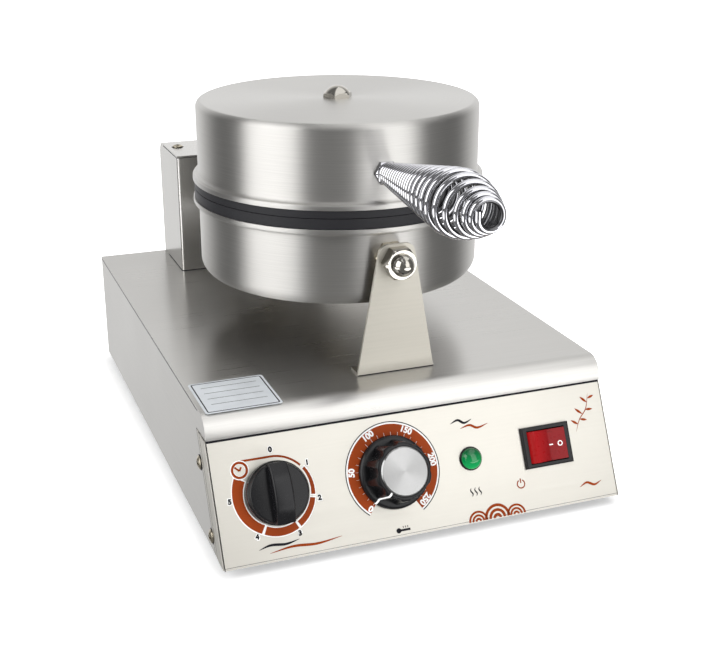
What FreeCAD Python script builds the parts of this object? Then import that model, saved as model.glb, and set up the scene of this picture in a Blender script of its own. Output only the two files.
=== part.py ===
"""Donut maker: a folded steel base with a sloped control panel, a rear column,
a fixed lower baking pan and a hinged upper pan with a coiled wire handle.

Millimetres, +X right, +Y back, +Z up.
The origin is on the standing surface, under the middle of the whole object.
Distances named BACK or FRONT are measured forwards from the rear face.
Heights are measured up from the bottom edge of the base box.
"""
import FreeCAD
import Part
import math
import os

from FreeCAD import Placement, Rotation, Vector

# Base box
REAR_Y = 204.2
BASE_WIDTH = 250.0
BASE_DEPTH = 353.7
BASE_HEIGHT = 78.7
SHEET = 1.2
SHEET_GAP = 0.2
LIP_FRONT = 322.5
LIP_RADIUS = 12.0
LIP_END = 65.3
SIDE_SETBACK = 2.8
SIDE_SCREWS = [(307.3, 45.7), (328.1, 9.0)]
BOTTOM_RAISE = 1.0
BOTTOM_FRONT_GAP = 6.0
VENT_FIRST_X = 28.0
VENT_STEP = 11.0
VENTS_PER_ROW = 7
VENT_HEIGHTS = (22.0, 46.0)
VENT_HALF_WIDTH = 2.0
VENT_HALF_LENGTH = 7.0

# Feet
FOOT_HEIGHT = 6.0
FOOT_X = 95.0
FOOT_FRONT_GAP = 48.0
FOOT_REAR_GAP = 32.0
FOOT_RADIUS_LOW = 9.5
FOOT_RADIUS_HIGH = 11.5
FOOT_RECESS_RADIUS = 4.6
FOOT_RECESS = 3.2

# Sloped control panel
PANEL_TILT = 26.6
PANEL_LENGTH = 71.2
PANEL_TUCK = 3.0
PANEL_ROW = 38.0
TIMER_X = -89.5
THERMOSTAT_X = -18.3
LAMP_X = 31.3
SWITCH_X = 82.0
ANGLE_WIDE = 12.0
ANGLE_DEEP = 25.0
ANGLE_LOW = 15.5
ANGLE_HIGH = 64.0

# Timer and thermostat
SHAFT_RADIUS = 3.0
SHAFT_BACK = 11.5
SHAFT_TOP = 13.0
BUSH_RADIUS = 5.0
BUSH_RISE = 4.5
SHAFT_NUT_FLATS = 14.0
SHAFT_NUT = 2.6
KNOB_LIFT = 1.0
KNOB_RECESS_RADIUS = 9.5
KNOB_RECESS_TOP = 5.4
TIMER_BODY = (42.0, 38.0, 30.0)
TIMER_KNOB_RADIUS = 18.1
TIMER_DISC_TOP = 9.0
TIMER_DISC_EDGE = 2.2
TIMER_GRIP_WIDTH = 10.8
TIMER_GRIP_TOP = 19.0
TIMER_GRIP_CROWN = 34.0
THERMOSTAT_BODY = (40.0, 36.0, 24.0)
SKIRT_RADIUS = 21.6
SKIRT_RADIUS_TOP = 20.2
SKIRT_TOP = 3.6
FLUTED_RADIUS_LOW = 18.4
FLUTED_RADIUS_TOP = 16.8
FLUTED_TOP = 19.2
FLUTES = 10
FLUTE_RADIUS = 5.0
FLUTE_PITCH_RADIUS = 20.8
FLUTE_TURN = -6.0
CAP_RADIUS = 14.2
CAP_SEAT = 18.0
CAP_THICK = 2.0

# Lamp and rocker switch
LAMP_BEZEL_RADIUS = 7.1
LAMP_BEZEL_RISE = 1.2
LAMP_BARREL_RADIUS = 5.8
LAMP_BARREL = 20.0
LAMP_LENS_RADIUS = 6.6
LAMP_LENS_NECK = 5.6
LAMP_LENS_SEAT = 0.42
LAMP_DOME = 4.4
SWITCH_BEZEL = (32.2, 25.0, 2.2)
SWITCH_BODY = (28.2, 22.0, 24.0)
SWITCH_WELL = (25.5, 20.4, 12.0)
ROCKER_PIVOT = 0.4
ROCKER_RADIUS = 12.4
ROCKER_HALF_WIDTH = 9.8
ROCKER_HALF_SWING = 10.0
ROCKER_RAISED = 24.0
ROCKER_BELOW = -26.0
ROCKER_VALLEY = 2.4
ROCKER_PIN_RADIUS = 1.5
ROCKER_PIN_REACH = 10.6
TERMINAL = (6.4, 0.8, 10.0)

# Rear column
COLUMN_WIDTH = 149.4
COLUMN_DEPTH = 58.7
COLUMN_HEIGHT = 87.2
COLUMN_CORNER = 10.0
COLUMN_BEND = 2.0
COLUMN_OVERHANG = 0.6
COLUMN_FOOT = 12.0
CAP_SCREW_X = 67.0
CAP_SCREW_BACK = 28.1
CAP_TAB = (14.0, 18.0)
WIRE_HOLE_HALF = 30.0
WIRE_HOLE_MARGIN = 14.0

# Baking pans
PAN_BACK = 194.7
SHELL_RADIUS = 88.8
SHELL_WALL = 1.0
RIM_RADIUS = 93.0
LID_TOP = 226.8
LID_RIM = 177.5
LID_CORNER = 4.0
PAN_RIM = 166.1
PAN_BOTTOM = 117.4
PAN_CORNER = 9.0
PARTING = 172.7
PARTING_GAP = 0.4

# Mould plates and heaters
PLATE_RADIUS = 92.0
PLATE_BODY_RADIUS = 82.0
PLATE_BODY = 16.0
BOSS_RADIUS = 14.0
BOSS_HEIGHT = 9.0
DONUT_RING = 17.0
DONUT_TUBE = 8.2
DONUT_PITCH = 54.0
DONUTS_AROUND = 6
HEATER_RING = 55.0
HEATER_TUBE = 4.0
HEATER_GAP_ANGLE = 20.0
HEATER_LEG = 13.0
HEATER_ROOM = 0.15
CLAMP_RADIUS = 64.0
CLAMP_THICK = 1.5
CLAMP_NOTCH = (15.0, 48.0)

# Lid hinge
HINGE_BACK = 78.0
PIN_RADIUS = 4.0
PIN_LENGTH = 82.0
BUSH_OUTER = 6.0
ARM_X = 26.0
ARM_WIDTH = 5.0
ARM_EYE = 10.0
ARM_OUTLINE = [(-9, 3), (-5.4, 18.2), (-2.5, 19.2), (12, 41), (34, 41), (34, 13), (26, 12), (9, -3)]
EAR_X = 32.0
EAR_WIDTH = 4.0
EAR_EYE = 9.0
EAR_FLANGE = 4.0
EAR_FLANGE_INNER = 14.0
EAR_LOW = -50.0
EAR_HIGH = -9.0
CLIP_RADIUS = 6.2
CLIP_THICK = 1.0
HINGE_BOLTS_X = 22.0
HINGE_BOLTS_Z = (132.0, 154.0)
SADDLE_THICK = 2.5
SADDLE_HALF = 34.0
SADDLE_LOW = 186.5
SADDLE_HIGH = 213.5
SADDLE_BOLTS_X = 17.0
SADDLE_BOLTS_Z = (193.0, 207.0)
GROMMET_HEIGHT = 200.0
GROMMET_NECK = 6.0
GROMMET_FLANGE = 9.0
GROMMET_BORE = 3.5

# Conduit tube behind the lower pan
CONDUIT_HEIGHT = 142.0
CONDUIT_RADIUS = 9.0
CONDUIT_WALL = 2.5
CONDUIT_REACH = 12.0
CONDUIT_NUT_FLATS = 24.0
CONDUIT_NUT = 4.0

# Front bracket
BRACKET_FRONT = 295.1
BRACKET_SHEET = 2.0
BRACKET_FOOT_WIDTH = 49.3
BRACKET_TOP_WIDTH = 21.0
BRACKET_TOP = 158.3
BRACKET_CORNER = 6.0
BRACKET_FOOT = 11.0
BRACKET_SCREW_X = 15.0
PAN_BOLT_HEIGHT = 148.0
PAN_BOLT_INSIDE = 8.0
PAN_BOLT_OUTSIDE = 11.5

# Cap nuts: size across flats, hexagon height, dome radius and dome rise
LID_CAP_NUT = (16.4, 3.2, 7.8, 4.2)
BRACKET_CAP_NUT = (17.6, 8.5, 6.7, 7.5)
LID_STUD_OUTSIDE = 4.0

# Handle
HANDLE_X = -3.0
HANDLE_ROOT = (288.0, 198.6)
HANDLE_TIP = (420.3, 207.0)
STUD_INSIDE = 18.0
STUD_OUTSIDE = 22.0
HANDLE_NUT_FLATS = 13.0
HANDLE_NUTS = [(-3.9, 3.7), (-12.2, 5.0)]
WIRE = 2.9
COIL_TURNS = 24
COIL_START = 0.5
COIL_ROOT_RADIUS = 6.9
COIL_BELLY_RADIUS = 18.3
COIL_TIP_RADIUS = 8.4
COIL_BELLY_AT = 0.70
PITCH_TIGHT = 4.0
PITCH_WIDE = 8.3
WIDEN_TURNS = (12.5, 16.0)
CLOSE_TURNS = (19.8, 22.4)

# Power entry
GLAND_X = -92.0
GLAND_HEIGHT = 62.0
GLAND_THREAD = 8.0
GLAND_THREAD_LENGTH = 10.0
GLAND_COLLAR = (10.0, 4.0)
GLAND_NOSE = (9.0, 6.6, 8.0)
GLAND_BORE = 4.2
BLOCK_X = (30.0, 80.0)
BLOCK_BACK = (90.0, 68.0)
BLOCK_HEIGHT = 18.0
BLOCK_WAYS = 5
BLOCK_WELL = (2.6, 10.0)

# Shared hardware
M10 = 4.9
M8 = 3.6
M5 = 2.4
M4 = 1.9
M10_FLATS = 17.0
M5_FLATS = 8.0
M5_HEAD = 3.5
M5_NUT = 4.0
HOLE_ROOM = 0.25
RUNNING_FIT = 0.05
PRESS_FIT = 0.02
SIDE_SCREW_HEAD = (3.6, 2.0)
CAP_SCREW_HEAD = (3.4, 2.0)
FOOT_SCREW_HEAD = (3.8, 2.2)

# Places worked out from the sizes above
BOTTOM = FOOT_HEIGHT
TOP = BOTTOM + BASE_HEIGHT
HALF = BASE_WIDTH / 2
INSIDE = HALF - SHEET - SHEET_GAP
FRONT_Y = REAR_Y - BASE_DEPTH
LIP_Y = REAR_Y - LIP_FRONT
PAN_Y = REAR_Y - PAN_BACK
COLUMN_Y = REAR_Y - COLUMN_DEPTH
COLUMN_TOP = TOP + COLUMN_HEIGHT
CAP_SCREW_Y = REAR_Y - CAP_SCREW_BACK
HINGE_Y = REAR_Y - HINGE_BACK
HINGE_Z = BOTTOM + PARTING
CONDUIT_Z = BOTTOM + CONDUIT_HEIGHT
GROMMET_Z = BOTTOM + GROMMET_HEIGHT
GLAND_Z = BOTTOM + GLAND_HEIGHT
PAN_BOLT_Z = BOTTOM + PAN_BOLT_HEIGHT
SADDLE_RADIUS = SHELL_RADIUS + SADDLE_THICK
DIAGONAL = math.sqrt(0.5)
ORIGIN = Vector(0, 0, 0)
X_AXIS = Vector(1, 0, 0)
Y_AXIS = Vector(0, 1, 0)
Z_AXIS = Vector(0, 0, 1)
RIGHT, LEFT = (1, 0, 0), (-1, 0, 0)
BACK, FORWARD = (0, 1, 0), (0, -1, 0)
UP, DOWN = (0, 0, 1), (0, 0, -1)
PANEL = Placement(Vector(0, FRONT_Y, BOTTOM), Rotation(X_AXIS, 90 - PANEL_TILT))

parts = {}
screws = []
m10_nuts = []
panel_nuts = []


# Shapes that many pieces share
def keep(name, *shapes):
    """Store a finished piece, or a group of like pieces, under its name."""
    parts[name] = shapes[0] if len(shapes) == 1 else Part.makeCompound(list(shapes))


def box(x0, x1, y0, y1, z0, z1):
    """Block between two corners, given in either order along X."""
    low = min(x0, x1)
    return Part.makeBox(abs(x1 - x0), y1 - y0, z1 - z0, Vector(low, y0, z0))


def rod(start, direction, radius, length):
    """Round bar from a point along a direction."""
    return Part.makeCylinder(radius, length, Vector(*start), Vector(*direction))


def hole(through, direction, radius, reach=10.0):
    """Round bar that passes a point by a reach on both sides, to cut with."""
    start = Vector(*through) - Vector(*direction) * reach
    return Part.makeCylinder(radius, 2 * reach, start, Vector(*direction))


def along(start, direction, shape):
    """Turn a shape made on +Z to a direction and set it on a point."""
    shape = shape.copy()
    turn = Rotation(Z_AXIS, Vector(*direction))
    shape.Placement = Placement(Vector(*start), turn).multiply(shape.Placement)
    return shape


def on_panel(shape):
    """Carry a shape from the panel's own frame (x, up the slope, outwards) to the object."""
    shape = shape.copy()
    shape.Placement = PANEL.multiply(shape.Placement)
    return shape


def prism(points, push):
    """Extrude a polygon of points by a vector."""
    wire = Part.makePolygon([Vector(*p) for p in points + points[:1]])
    return Part.Face(wire).extrude(Vector(*push))


def outline(x, steps):
    """Closed wire in the plane at x; a step is the next corner, or an arc's middle and end."""
    points = [[Vector(x, *p) for p in step] for step in steps]
    edges = []
    last = points[-1][-1]
    for step in points:
        if len(step) == 1:
            edges.append(Part.makeLine(last, step[0]))
        else:
            edges.append(Part.Arc(last, step[0], step[1]).toShape())
        last = step[-1]
    return Part.Wire(edges)


def bend(centre, radius, start, end):
    """Middle and end of a quarter arc in (y, z) between two unit directions."""
    middle = ((start[0] + end[0]) * DIAGONAL, (start[1] + end[1]) * DIAGONAL)
    return [(centre[0] + radius * way[0], centre[1] + radius * way[1]) for way in (middle, end)]


def edges_at_top(shape, z):
    """Edges of a shape that lie wholly at one height."""
    return [e for e in shape.Edges
            if abs(e.BoundBox.ZMin - z) < 0.01 and abs(e.BoundBox.ZMax - z) < 0.01]


def round_front(shape, radius):
    """Round the upright edges of a block's front face."""
    front = shape.BoundBox.YMin
    upright = [e for e in shape.Edges if e.BoundBox.YMax < front + 0.01 and e.BoundBox.XLength < 0.01]
    return shape.makeFillet(radius, upright)


def hexagon(flats, height, bore=0.0):
    """Hexagonal block on +Z with its top corners turned off, and a bore."""
    corner = flats / math.sqrt(3)
    turns = [math.radians(60 * i) for i in range(6)]
    block = prism([(corner * math.cos(t), corner * math.sin(t), 0) for t in turns], (0, 0, height))
    cone_height = height + corner
    foot = Vector(0, 0, height - cone_height)
    cone = Part.makeCone(flats / 2 + cone_height, flats / 2, cone_height, foot)
    block = block.common(cone)
    if bore:
        block = block.cut(hole((0, 0, 0), UP, bore, 2 * height))
    return block


def dome(radius, rise, base):
    """Round cap of a radius and a rise, standing at a height on +Z."""
    ball = (radius ** 2 + rise ** 2) / (2 * rise)
    whole = Part.makeSphere(ball, Vector(0, 0, base + rise - ball))
    return whole.common(Part.makeCylinder(radius, rise, Vector(0, 0, base)))


def cap_nut(flats, hex_height, dome_radius, dome_rise, bore_depth):
    """Closed nut with a round dome, standing on +Z."""
    nut = hexagon(flats, hex_height).fuse(dome(dome_radius, dome_rise, hex_height)).removeSplitter()
    return nut.cut(rod((0, 0, 0), UP, M10 + RUNNING_FIT, bore_depth))


def pan_screw(head, shank_length):
    """Round-headed screw with a cross recess, head above z = 0 and shank below."""
    radius, height = head
    screw = dome(radius, height, 0).fuse(rod((0, 0, 0), DOWN, M4, shank_length))
    slot, reach, floor = 0.22 * radius, 0.62 * radius, 0.55 * height
    for wide, tall in ((reach, slot), (slot, reach)):
        screw = screw.cut(box(-wide, wide, -tall, tall, floor, 2 * height))
    return screw


def hex_bolt(length):
    """Small hexagon-headed bolt, head above z = 0 and shank below."""
    return hexagon(M5_FLATS, M5_HEAD).fuse(rod((0, 0, 0), DOWN, M5, length)).removeSplitter()


# Base box
def side_screw_places():
    return [(REAR_Y - back, BOTTOM + height) for back, height in SIDE_SCREWS]


def bracket_screw_places():
    foot_middle = REAR_Y - BRACKET_FRONT + (BRACKET_FOOT + BRACKET_SHEET) / 2
    return [(-BRACKET_SCREW_X, foot_middle), (BRACKET_SCREW_X, foot_middle)]


def foot_places():
    rows = (FRONT_Y + FOOT_FRONT_GAP, REAR_Y - FOOT_REAR_GAP)
    return [(x, y) for y in rows for x in (-FOOT_X, FOOT_X)]


def top_cover():
    centre = (LIP_Y + LIP_RADIUS, TOP - LIP_RADIUS)
    inner = LIP_RADIUS - SHEET
    end = BOTTOM + LIP_END
    wire = outline(-HALF, [
        [(REAR_Y, TOP)],
        [(centre[0], TOP)],
        bend(centre, LIP_RADIUS, (0, 1), (-1, 0)),
        [(LIP_Y, end)],
        [(LIP_Y + SHEET, end)],
        [(LIP_Y + SHEET, centre[1])],
        bend(centre, inner, (-1, 0), (0, 1)),
        [(REAR_Y, TOP - SHEET)],
    ])
    sheet = Part.Face(wire).extrude(Vector(BASE_WIDTH, 0, 0))
    front, rear = COLUMN_Y + WIRE_HOLE_MARGIN, REAR_Y - WIRE_HOLE_MARGIN
    sheet = sheet.cut(box(-WIRE_HOLE_HALF, WIRE_HOLE_HALF, front, rear, TOP - 2 * SHEET, TOP + SHEET))
    for x, y in bracket_screw_places():
        sheet = sheet.cut(hole((x, y, TOP), UP, M4 + HOLE_ROOM))
    keep("top_cover", sheet)


def side_panels():
    """Flat sides; their front edge runs behind the sloped panel and under the rolled lip."""
    centre = (LIP_Y + LIP_RADIUS, TOP - LIP_RADIUS)
    slope = math.radians(PANEL_TILT)
    foot_y = FRONT_Y + SIDE_SETBACK / math.cos(slope)
    lip_y = LIP_Y + SHEET
    for name, x in (("left_side_panel", -HALF), ("right_side_panel", HALF - SHEET)):
        wire = outline(x, [
            [(foot_y, BOTTOM)],
            [(REAR_Y, BOTTOM)],
            [(REAR_Y, TOP - SHEET)],
            [(centre[0], TOP - SHEET)],
            bend(centre, LIP_RADIUS - SHEET, (0, 1), (-1, 0)),
            [(lip_y, BOTTOM + LIP_END)],
            [(foot_y + LIP_END * math.tan(slope), BOTTOM + LIP_END)],
        ])
        sheet = Part.Face(wire).extrude(Vector(SHEET, 0, 0))
        for y, z in side_screw_places():
            sheet = sheet.cut(hole((x, y, z), RIGHT, M4 + HOLE_ROOM))
        keep(name, sheet)


def panel_angles():
    """Folded angles that hold the control panel between the side panels."""
    angles = []
    for side in (-1, 1):
        outer = side * INSIDE
        back = box(outer, outer - side * SHEET, ANGLE_LOW, ANGLE_HIGH, -ANGLE_DEEP, -SHEET)
        face = box(outer, outer - side * ANGLE_WIDE, ANGLE_LOW, ANGLE_HIGH, -2 * SHEET, -SHEET)
        angle = on_panel(back.fuse(face).removeSplitter())
        for y, z in side_screw_places():
            angle = angle.cut(hole((side * HALF, y, z), RIGHT, M4 + HOLE_ROOM))
            screws.append(along((side * HALF, y, z), (side, 0, 0), pan_screw(SIDE_SCREW_HEAD, 7.0)))
        angles.append(angle)
    keep("panel_angles", *angles)


def control_panel():
    half, tucked, start = HALF - 0.3, INSIDE - 0.1, 0.3
    plate = box(-half, half, start, PANEL_LENGTH, -SHEET, 0)
    plate = plate.fuse(box(-tucked, tucked, PANEL_LENGTH, PANEL_LENGTH + PANEL_TUCK, -SHEET, 0))
    plate = plate.removeSplitter()
    for x in (TIMER_X, THERMOSTAT_X):
        plate = plate.cut(hole((x, PANEL_ROW, 0), UP, BUSH_RADIUS + 0.2))
    plate = plate.cut(hole((LAMP_X, PANEL_ROW, 0), UP, LAMP_BARREL_RADIUS + 0.15))
    wide, tall = SWITCH_BODY[0] / 2 + 0.2, SWITCH_BODY[1] / 2 + 0.2
    plate = plate.cut(box(SWITCH_X - wide, SWITCH_X + wide, PANEL_ROW - tall, PANEL_ROW + tall, -5, 5))
    keep("control_panel", on_panel(plate))


def rear_panel():
    sheet = box(-INSIDE, INSIDE, REAR_Y - SHEET, REAR_Y, BOTTOM, TOP - SHEET)
    for height in VENT_HEIGHTS:
        for i in range(VENTS_PER_ROW):
            for side in (-1, 1):
                sheet = sheet.cut(vent(side * (VENT_FIRST_X + VENT_STEP * i), BOTTOM + height))
    keep("rear_panel", sheet.cut(hole((GLAND_X, REAR_Y, GLAND_Z), BACK, GLAND_THREAD + 0.3)))


def vent(x, z):
    """Upright slot with round ends, to cut with."""
    wide, tall = VENT_HALF_WIDTH, VENT_HALF_LENGTH
    slot = box(x - wide, x + wide, REAR_Y - 5, REAR_Y + 5, z - tall, z + tall)
    ends = [hole((x, REAR_Y, z + end), BACK, wide, 5) for end in (-tall, tall)]
    return slot.fuse(ends)


def bottom_plate():
    low = BOTTOM + BOTTOM_RAISE
    half, rear = INSIDE - 0.1, REAR_Y - SHEET - SHEET_GAP
    sheet = box(-half, half, FRONT_Y + BOTTOM_FRONT_GAP, rear, low, low + SHEET)
    for x, y in foot_places():
        sheet = sheet.cut(hole((x, y, low), UP, M4 + HOLE_ROOM))
    keep("bottom_plate", sheet)


def feet():
    rubber = []
    for x, y in foot_places():
        foot = Part.makeCone(FOOT_RADIUS_LOW, FOOT_RADIUS_HIGH, BOTTOM + BOTTOM_RAISE, Vector(x, y, 0))
        foot = foot.cut(rod((x, y, 0), UP, FOOT_RECESS_RADIUS, FOOT_RECESS))
        rubber.append(foot.cut(hole((x, y, 0), UP, M4 + HOLE_ROOM)))
        screws.append(along((x, y, FOOT_RECESS), DOWN, pan_screw(FOOT_SCREW_HEAD, 9.0)))
    keep("rubber_feet", *rubber)


# Rear column
def column_body():
    half, head, rear = COLUMN_WIDTH / 2, COLUMN_TOP - SHEET, REAR_Y - SHEET - SHEET_GAP
    corner = COLUMN_CORNER - SHEET
    centre = (rear - corner, head - corner)
    side = outline(-half, [
        [(COLUMN_Y, TOP)],
        [(rear, TOP)],
        [(rear, centre[1])],
        bend(centre, corner, (1, 0), (0, 1)),
        [(COLUMN_Y, head)],
    ])
    body = Part.Face(side).extrude(Vector(COLUMN_WIDTH, 0, 0))
    inside = box(SHEET - half, half - SHEET, COLUMN_Y + SHEET, REAR_Y, TOP - 1, head + 1)
    body = round_front(body, COLUMN_BEND).cut(round_front(inside, COLUMN_BEND - SHEET))
    for way in (-1, 1):
        wall = way * (half - SHEET)
        deep = CAP_TAB[1] / 2
        tab = box(wall, wall - way * CAP_TAB[0], CAP_SCREW_Y - deep, CAP_SCREW_Y + deep, head - SHEET, head)
        tab = tab.cut(hole((way * CAP_SCREW_X, CAP_SCREW_Y, head), UP, M4 + RUNNING_FIT))
        foot = box(wall, wall - way * COLUMN_FOOT, COLUMN_Y + SHEET, REAR_Y - COLUMN_FOOT, TOP, TOP + SHEET)
        body = body.fuse([tab, foot])
    body = body.removeSplitter()
    body = body.cut(hole((0, COLUMN_Y, CONDUIT_Z), BACK, CONDUIT_RADIUS + HOLE_ROOM))
    for x, z in hinge_bolt_places():
        body = body.cut(hole((x, COLUMN_Y, z), BACK, M5 + HOLE_ROOM))
    keep("column_body", body)


def column_cover():
    half, front = COLUMN_WIDTH / 2, COLUMN_Y - COLUMN_OVERHANG
    centre = (REAR_Y - COLUMN_CORNER, COLUMN_TOP - COLUMN_CORNER)
    wire = outline(-half, [
        [(front, COLUMN_TOP)],
        [(centre[0], COLUMN_TOP)],
        bend(centre, COLUMN_CORNER, (0, 1), (1, 0)),
        [(REAR_Y, TOP)],
        [(REAR_Y - SHEET, TOP)],
        [(REAR_Y - SHEET, centre[1])],
        bend(centre, COLUMN_CORNER - SHEET, (1, 0), (0, 1)),
        [(front, COLUMN_TOP - SHEET)],
    ])
    cover = Part.Face(wire).extrude(Vector(COLUMN_WIDTH, 0, 0))
    for side in (-1, 1):
        place = (side * CAP_SCREW_X, CAP_SCREW_Y, COLUMN_TOP)
        cover = cover.cut(hole(place, UP, M4 + HOLE_ROOM))
        screws.append(along(place, UP, pan_screw(CAP_SCREW_HEAD, 7.0)))
    keep("column_cover", cover)


# Baking pans
def pan_shell(rim_z, end_z, corner):
    """Spun steel pan about the pan axis, with a flared rim; end_z is its closed end."""
    side = 1 if end_z > rim_z else -1
    depth, wall = abs(end_z - rim_z), SHELL_WALL
    flare = RIM_RADIUS - SHELL_RADIUS
    flare_centre = (RIM_RADIUS, wall + flare)
    corner_centre = (SHELL_RADIUS - corner, depth - corner)
    steps = [
        [(0, depth)],
        [(corner_centre[0], depth)],
        bend(corner_centre, corner, (0, 1), (1, 0)),
        [(SHELL_RADIUS, flare_centre[1])],
        bend(flare_centre, flare, (-1, 0), (0, -1)),
        [(RIM_RADIUS, 0)],
        bend(flare_centre, flare + wall, (0, -1), (-1, 0)),
        [(SHELL_RADIUS - wall, corner_centre[1])],
        bend(corner_centre, corner - wall, (1, 0), (0, 1)),
        [(0, depth - wall)],
    ]
    placed = [[(PAN_Y + r, rim_z + side * z) for r, z in step] for step in steps]
    face = Part.Face(outline(0, placed))
    return face.revolve(Vector(0, PAN_Y, 0), Z_AXIS, 360)


def donut_centres():
    """Places of the moulds from the pan axis: one in the middle and a ring around it."""
    turns = [math.radians(360 / DONUTS_AROUND * (i + 0.5)) for i in range(DONUTS_AROUND)]
    return [(0.0, 0.0)] + [(DONUT_PITCH * math.cos(t), DONUT_PITCH * math.sin(t)) for t in turns]


def pan_disc(radius, z0, z1):
    """Disc about the pan axis between two heights."""
    return Part.makeCylinder(radius, abs(z1 - z0), Vector(0, PAN_Y, min(z0, z1)))


def mould_plate(name, face_z, rim_z, side):
    """Cast plate: a rim on the shell's lip, a thick body, a boss and half-donut moulds."""
    back_z = face_z + side * PLATE_BODY
    boss_z = back_z + side * BOSS_HEIGHT
    plate = pan_disc(PLATE_RADIUS, face_z, rim_z).fuse([
        pan_disc(PLATE_BODY_RADIUS, rim_z, back_z), pan_disc(BOSS_RADIUS, back_z, boss_z)])
    plate = plate.removeSplitter()
    for x, y in donut_centres():
        centre = Vector(x, PAN_Y + y, BOTTOM + PARTING)
        plate = plate.cut(Part.makeTorus(DONUT_RING, DONUT_TUBE, centre, Z_AXIS))
    keep(name, plate.cut(pan_disc(M10 + PRESS_FIT, back_z + side, boss_z + side)))
    return back_z


def heater(name, back_z, side):
    """Tube heater ring against a plate's back, with two legs, and the ring that clamps it."""
    middle_z = back_z + side * (HEATER_TUBE + HEATER_ROOM)
    first = 90 + HEATER_GAP_ANGLE / 2
    ring = Part.makeTorus(HEATER_RING, HEATER_TUBE, ORIGIN, Z_AXIS, 0, 360, 360 - HEATER_GAP_ANGLE)
    ring.rotate(ORIGIN, Z_AXIS, first)
    ring.translate(Vector(0, PAN_Y, middle_z))
    legs = []
    for turn in (first, first - HEATER_GAP_ANGLE):
        x, y = HEATER_RING * math.cos(math.radians(turn)), HEATER_RING * math.sin(math.radians(turn))
        legs.append(rod((x, PAN_Y + y, middle_z), (0, 0, side), 0.9 * HEATER_TUBE, HEATER_LEG))
    keep(name + "_heater", ring.fuse(legs).removeSplitter())
    near = middle_z + side * (HEATER_TUBE + HEATER_ROOM)
    clamp = pan_disc(CLAMP_RADIUS, near, near + side * CLAMP_THICK)
    clamp = clamp.cut(hole((0, PAN_Y, near), UP, BOSS_RADIUS + 1))
    notch_x, notch_y = CLAMP_NOTCH
    clamp = clamp.cut(box(-notch_x, notch_x, PAN_Y + notch_y, PAN_Y + CLAMP_RADIUS + 1, near - 5, near + 5))
    keep(name + "_clamp_ring", clamp)


def lower_pan():
    rim, end = BOTTOM + PAN_RIM, BOTTOM + PAN_BOTTOM
    shell = pan_shell(rim, end, PAN_CORNER)
    shell = shell.cut(hole((0, PAN_Y, end), UP, M10 + HOLE_ROOM))
    shell = shell.cut(hole((0, PAN_Y - SHELL_RADIUS, PAN_BOLT_Z), FORWARD, M10 + HOLE_ROOM))
    shell = shell.cut(hole((0, PAN_Y + SHELL_RADIUS, CONDUIT_Z), BACK, CONDUIT_RADIUS + HOLE_ROOM))
    keep("lower_shell", shell)
    back = mould_plate("lower_plate", BOTTOM + PARTING - PARTING_GAP / 2, rim, -1)
    heater("lower", back, -1)
    below = end - 9
    keep("lower_stud", rod((0, PAN_Y, below), UP, M10, back - 1 - below))
    for z, way, thick in ((end - PRESS_FIT, DOWN, 8.0), (end + SHELL_WALL + PRESS_FIT, UP, 5.0)):
        m10_nuts.append(along((0, PAN_Y, z), way, hexagon(M10_FLATS, thick, M10 + RUNNING_FIT)))


def upper_pan():
    rim, end = BOTTOM + LID_RIM, BOTTOM + LID_TOP
    shell = pan_shell(rim, end, LID_CORNER)
    shell = shell.cut(hole((0, PAN_Y, end), UP, M10 + HOLE_ROOM))
    shell = shell.cut(hole(handle_point(-5), handle_direction(), M8 + 0.6, 12))
    shell = shell.cut(hole((0, PAN_Y + SHELL_RADIUS, GROMMET_Z), BACK, GROMMET_NECK + 0.1))
    for x, z in saddle_bolt_places():
        shell = shell.cut(hole((x, PAN_Y + SHELL_RADIUS, z), BACK, M5 + HOLE_ROOM))
    keep("upper_shell", shell)
    back = mould_plate("upper_plate", BOTTOM + PARTING + PARTING_GAP / 2, rim, 1)
    heater("upper", back, 1)
    keep("lid_stud", rod((0, PAN_Y, back + 1), UP, M10, end + LID_STUD_OUTSIDE - back - 1))
    keep("lid_cap_nut", along((0, PAN_Y, end), UP, cap_nut(*LID_CAP_NUT, LID_STUD_OUTSIDE + 0.2)))
    inner = hexagon(M10_FLATS, 5.0, M10 + RUNNING_FIT)
    keep("lid_stud_nut", along((0, PAN_Y, end - SHELL_WALL - PRESS_FIT), DOWN, inner))


# Lid hinge, with outlines measured forwards and upwards from the pin
def hinge_bolt_places():
    return [(x, BOTTOM + z) for x in (-HINGE_BOLTS_X, HINGE_BOLTS_X) for z in HINGE_BOLTS_Z]


def saddle_bolt_places():
    return [(x, BOTTOM + z) for x in (-SADDLE_BOLTS_X, SADDLE_BOLTS_X) for z in SADDLE_BOLTS_Z]


def hinge_plate(x, width, corners):
    """Plate centred on x with a polygon outline."""
    points = [(x - width / 2, HINGE_Y - forward, HINGE_Z + up) for forward, up in corners]
    return prism(points, (width, 0, 0))


def eye(x, width, radius):
    """Disc round the pin, centred on x."""
    return rod((x - width / 2, HINGE_Y, HINGE_Z), RIGHT, radius, width)


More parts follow.
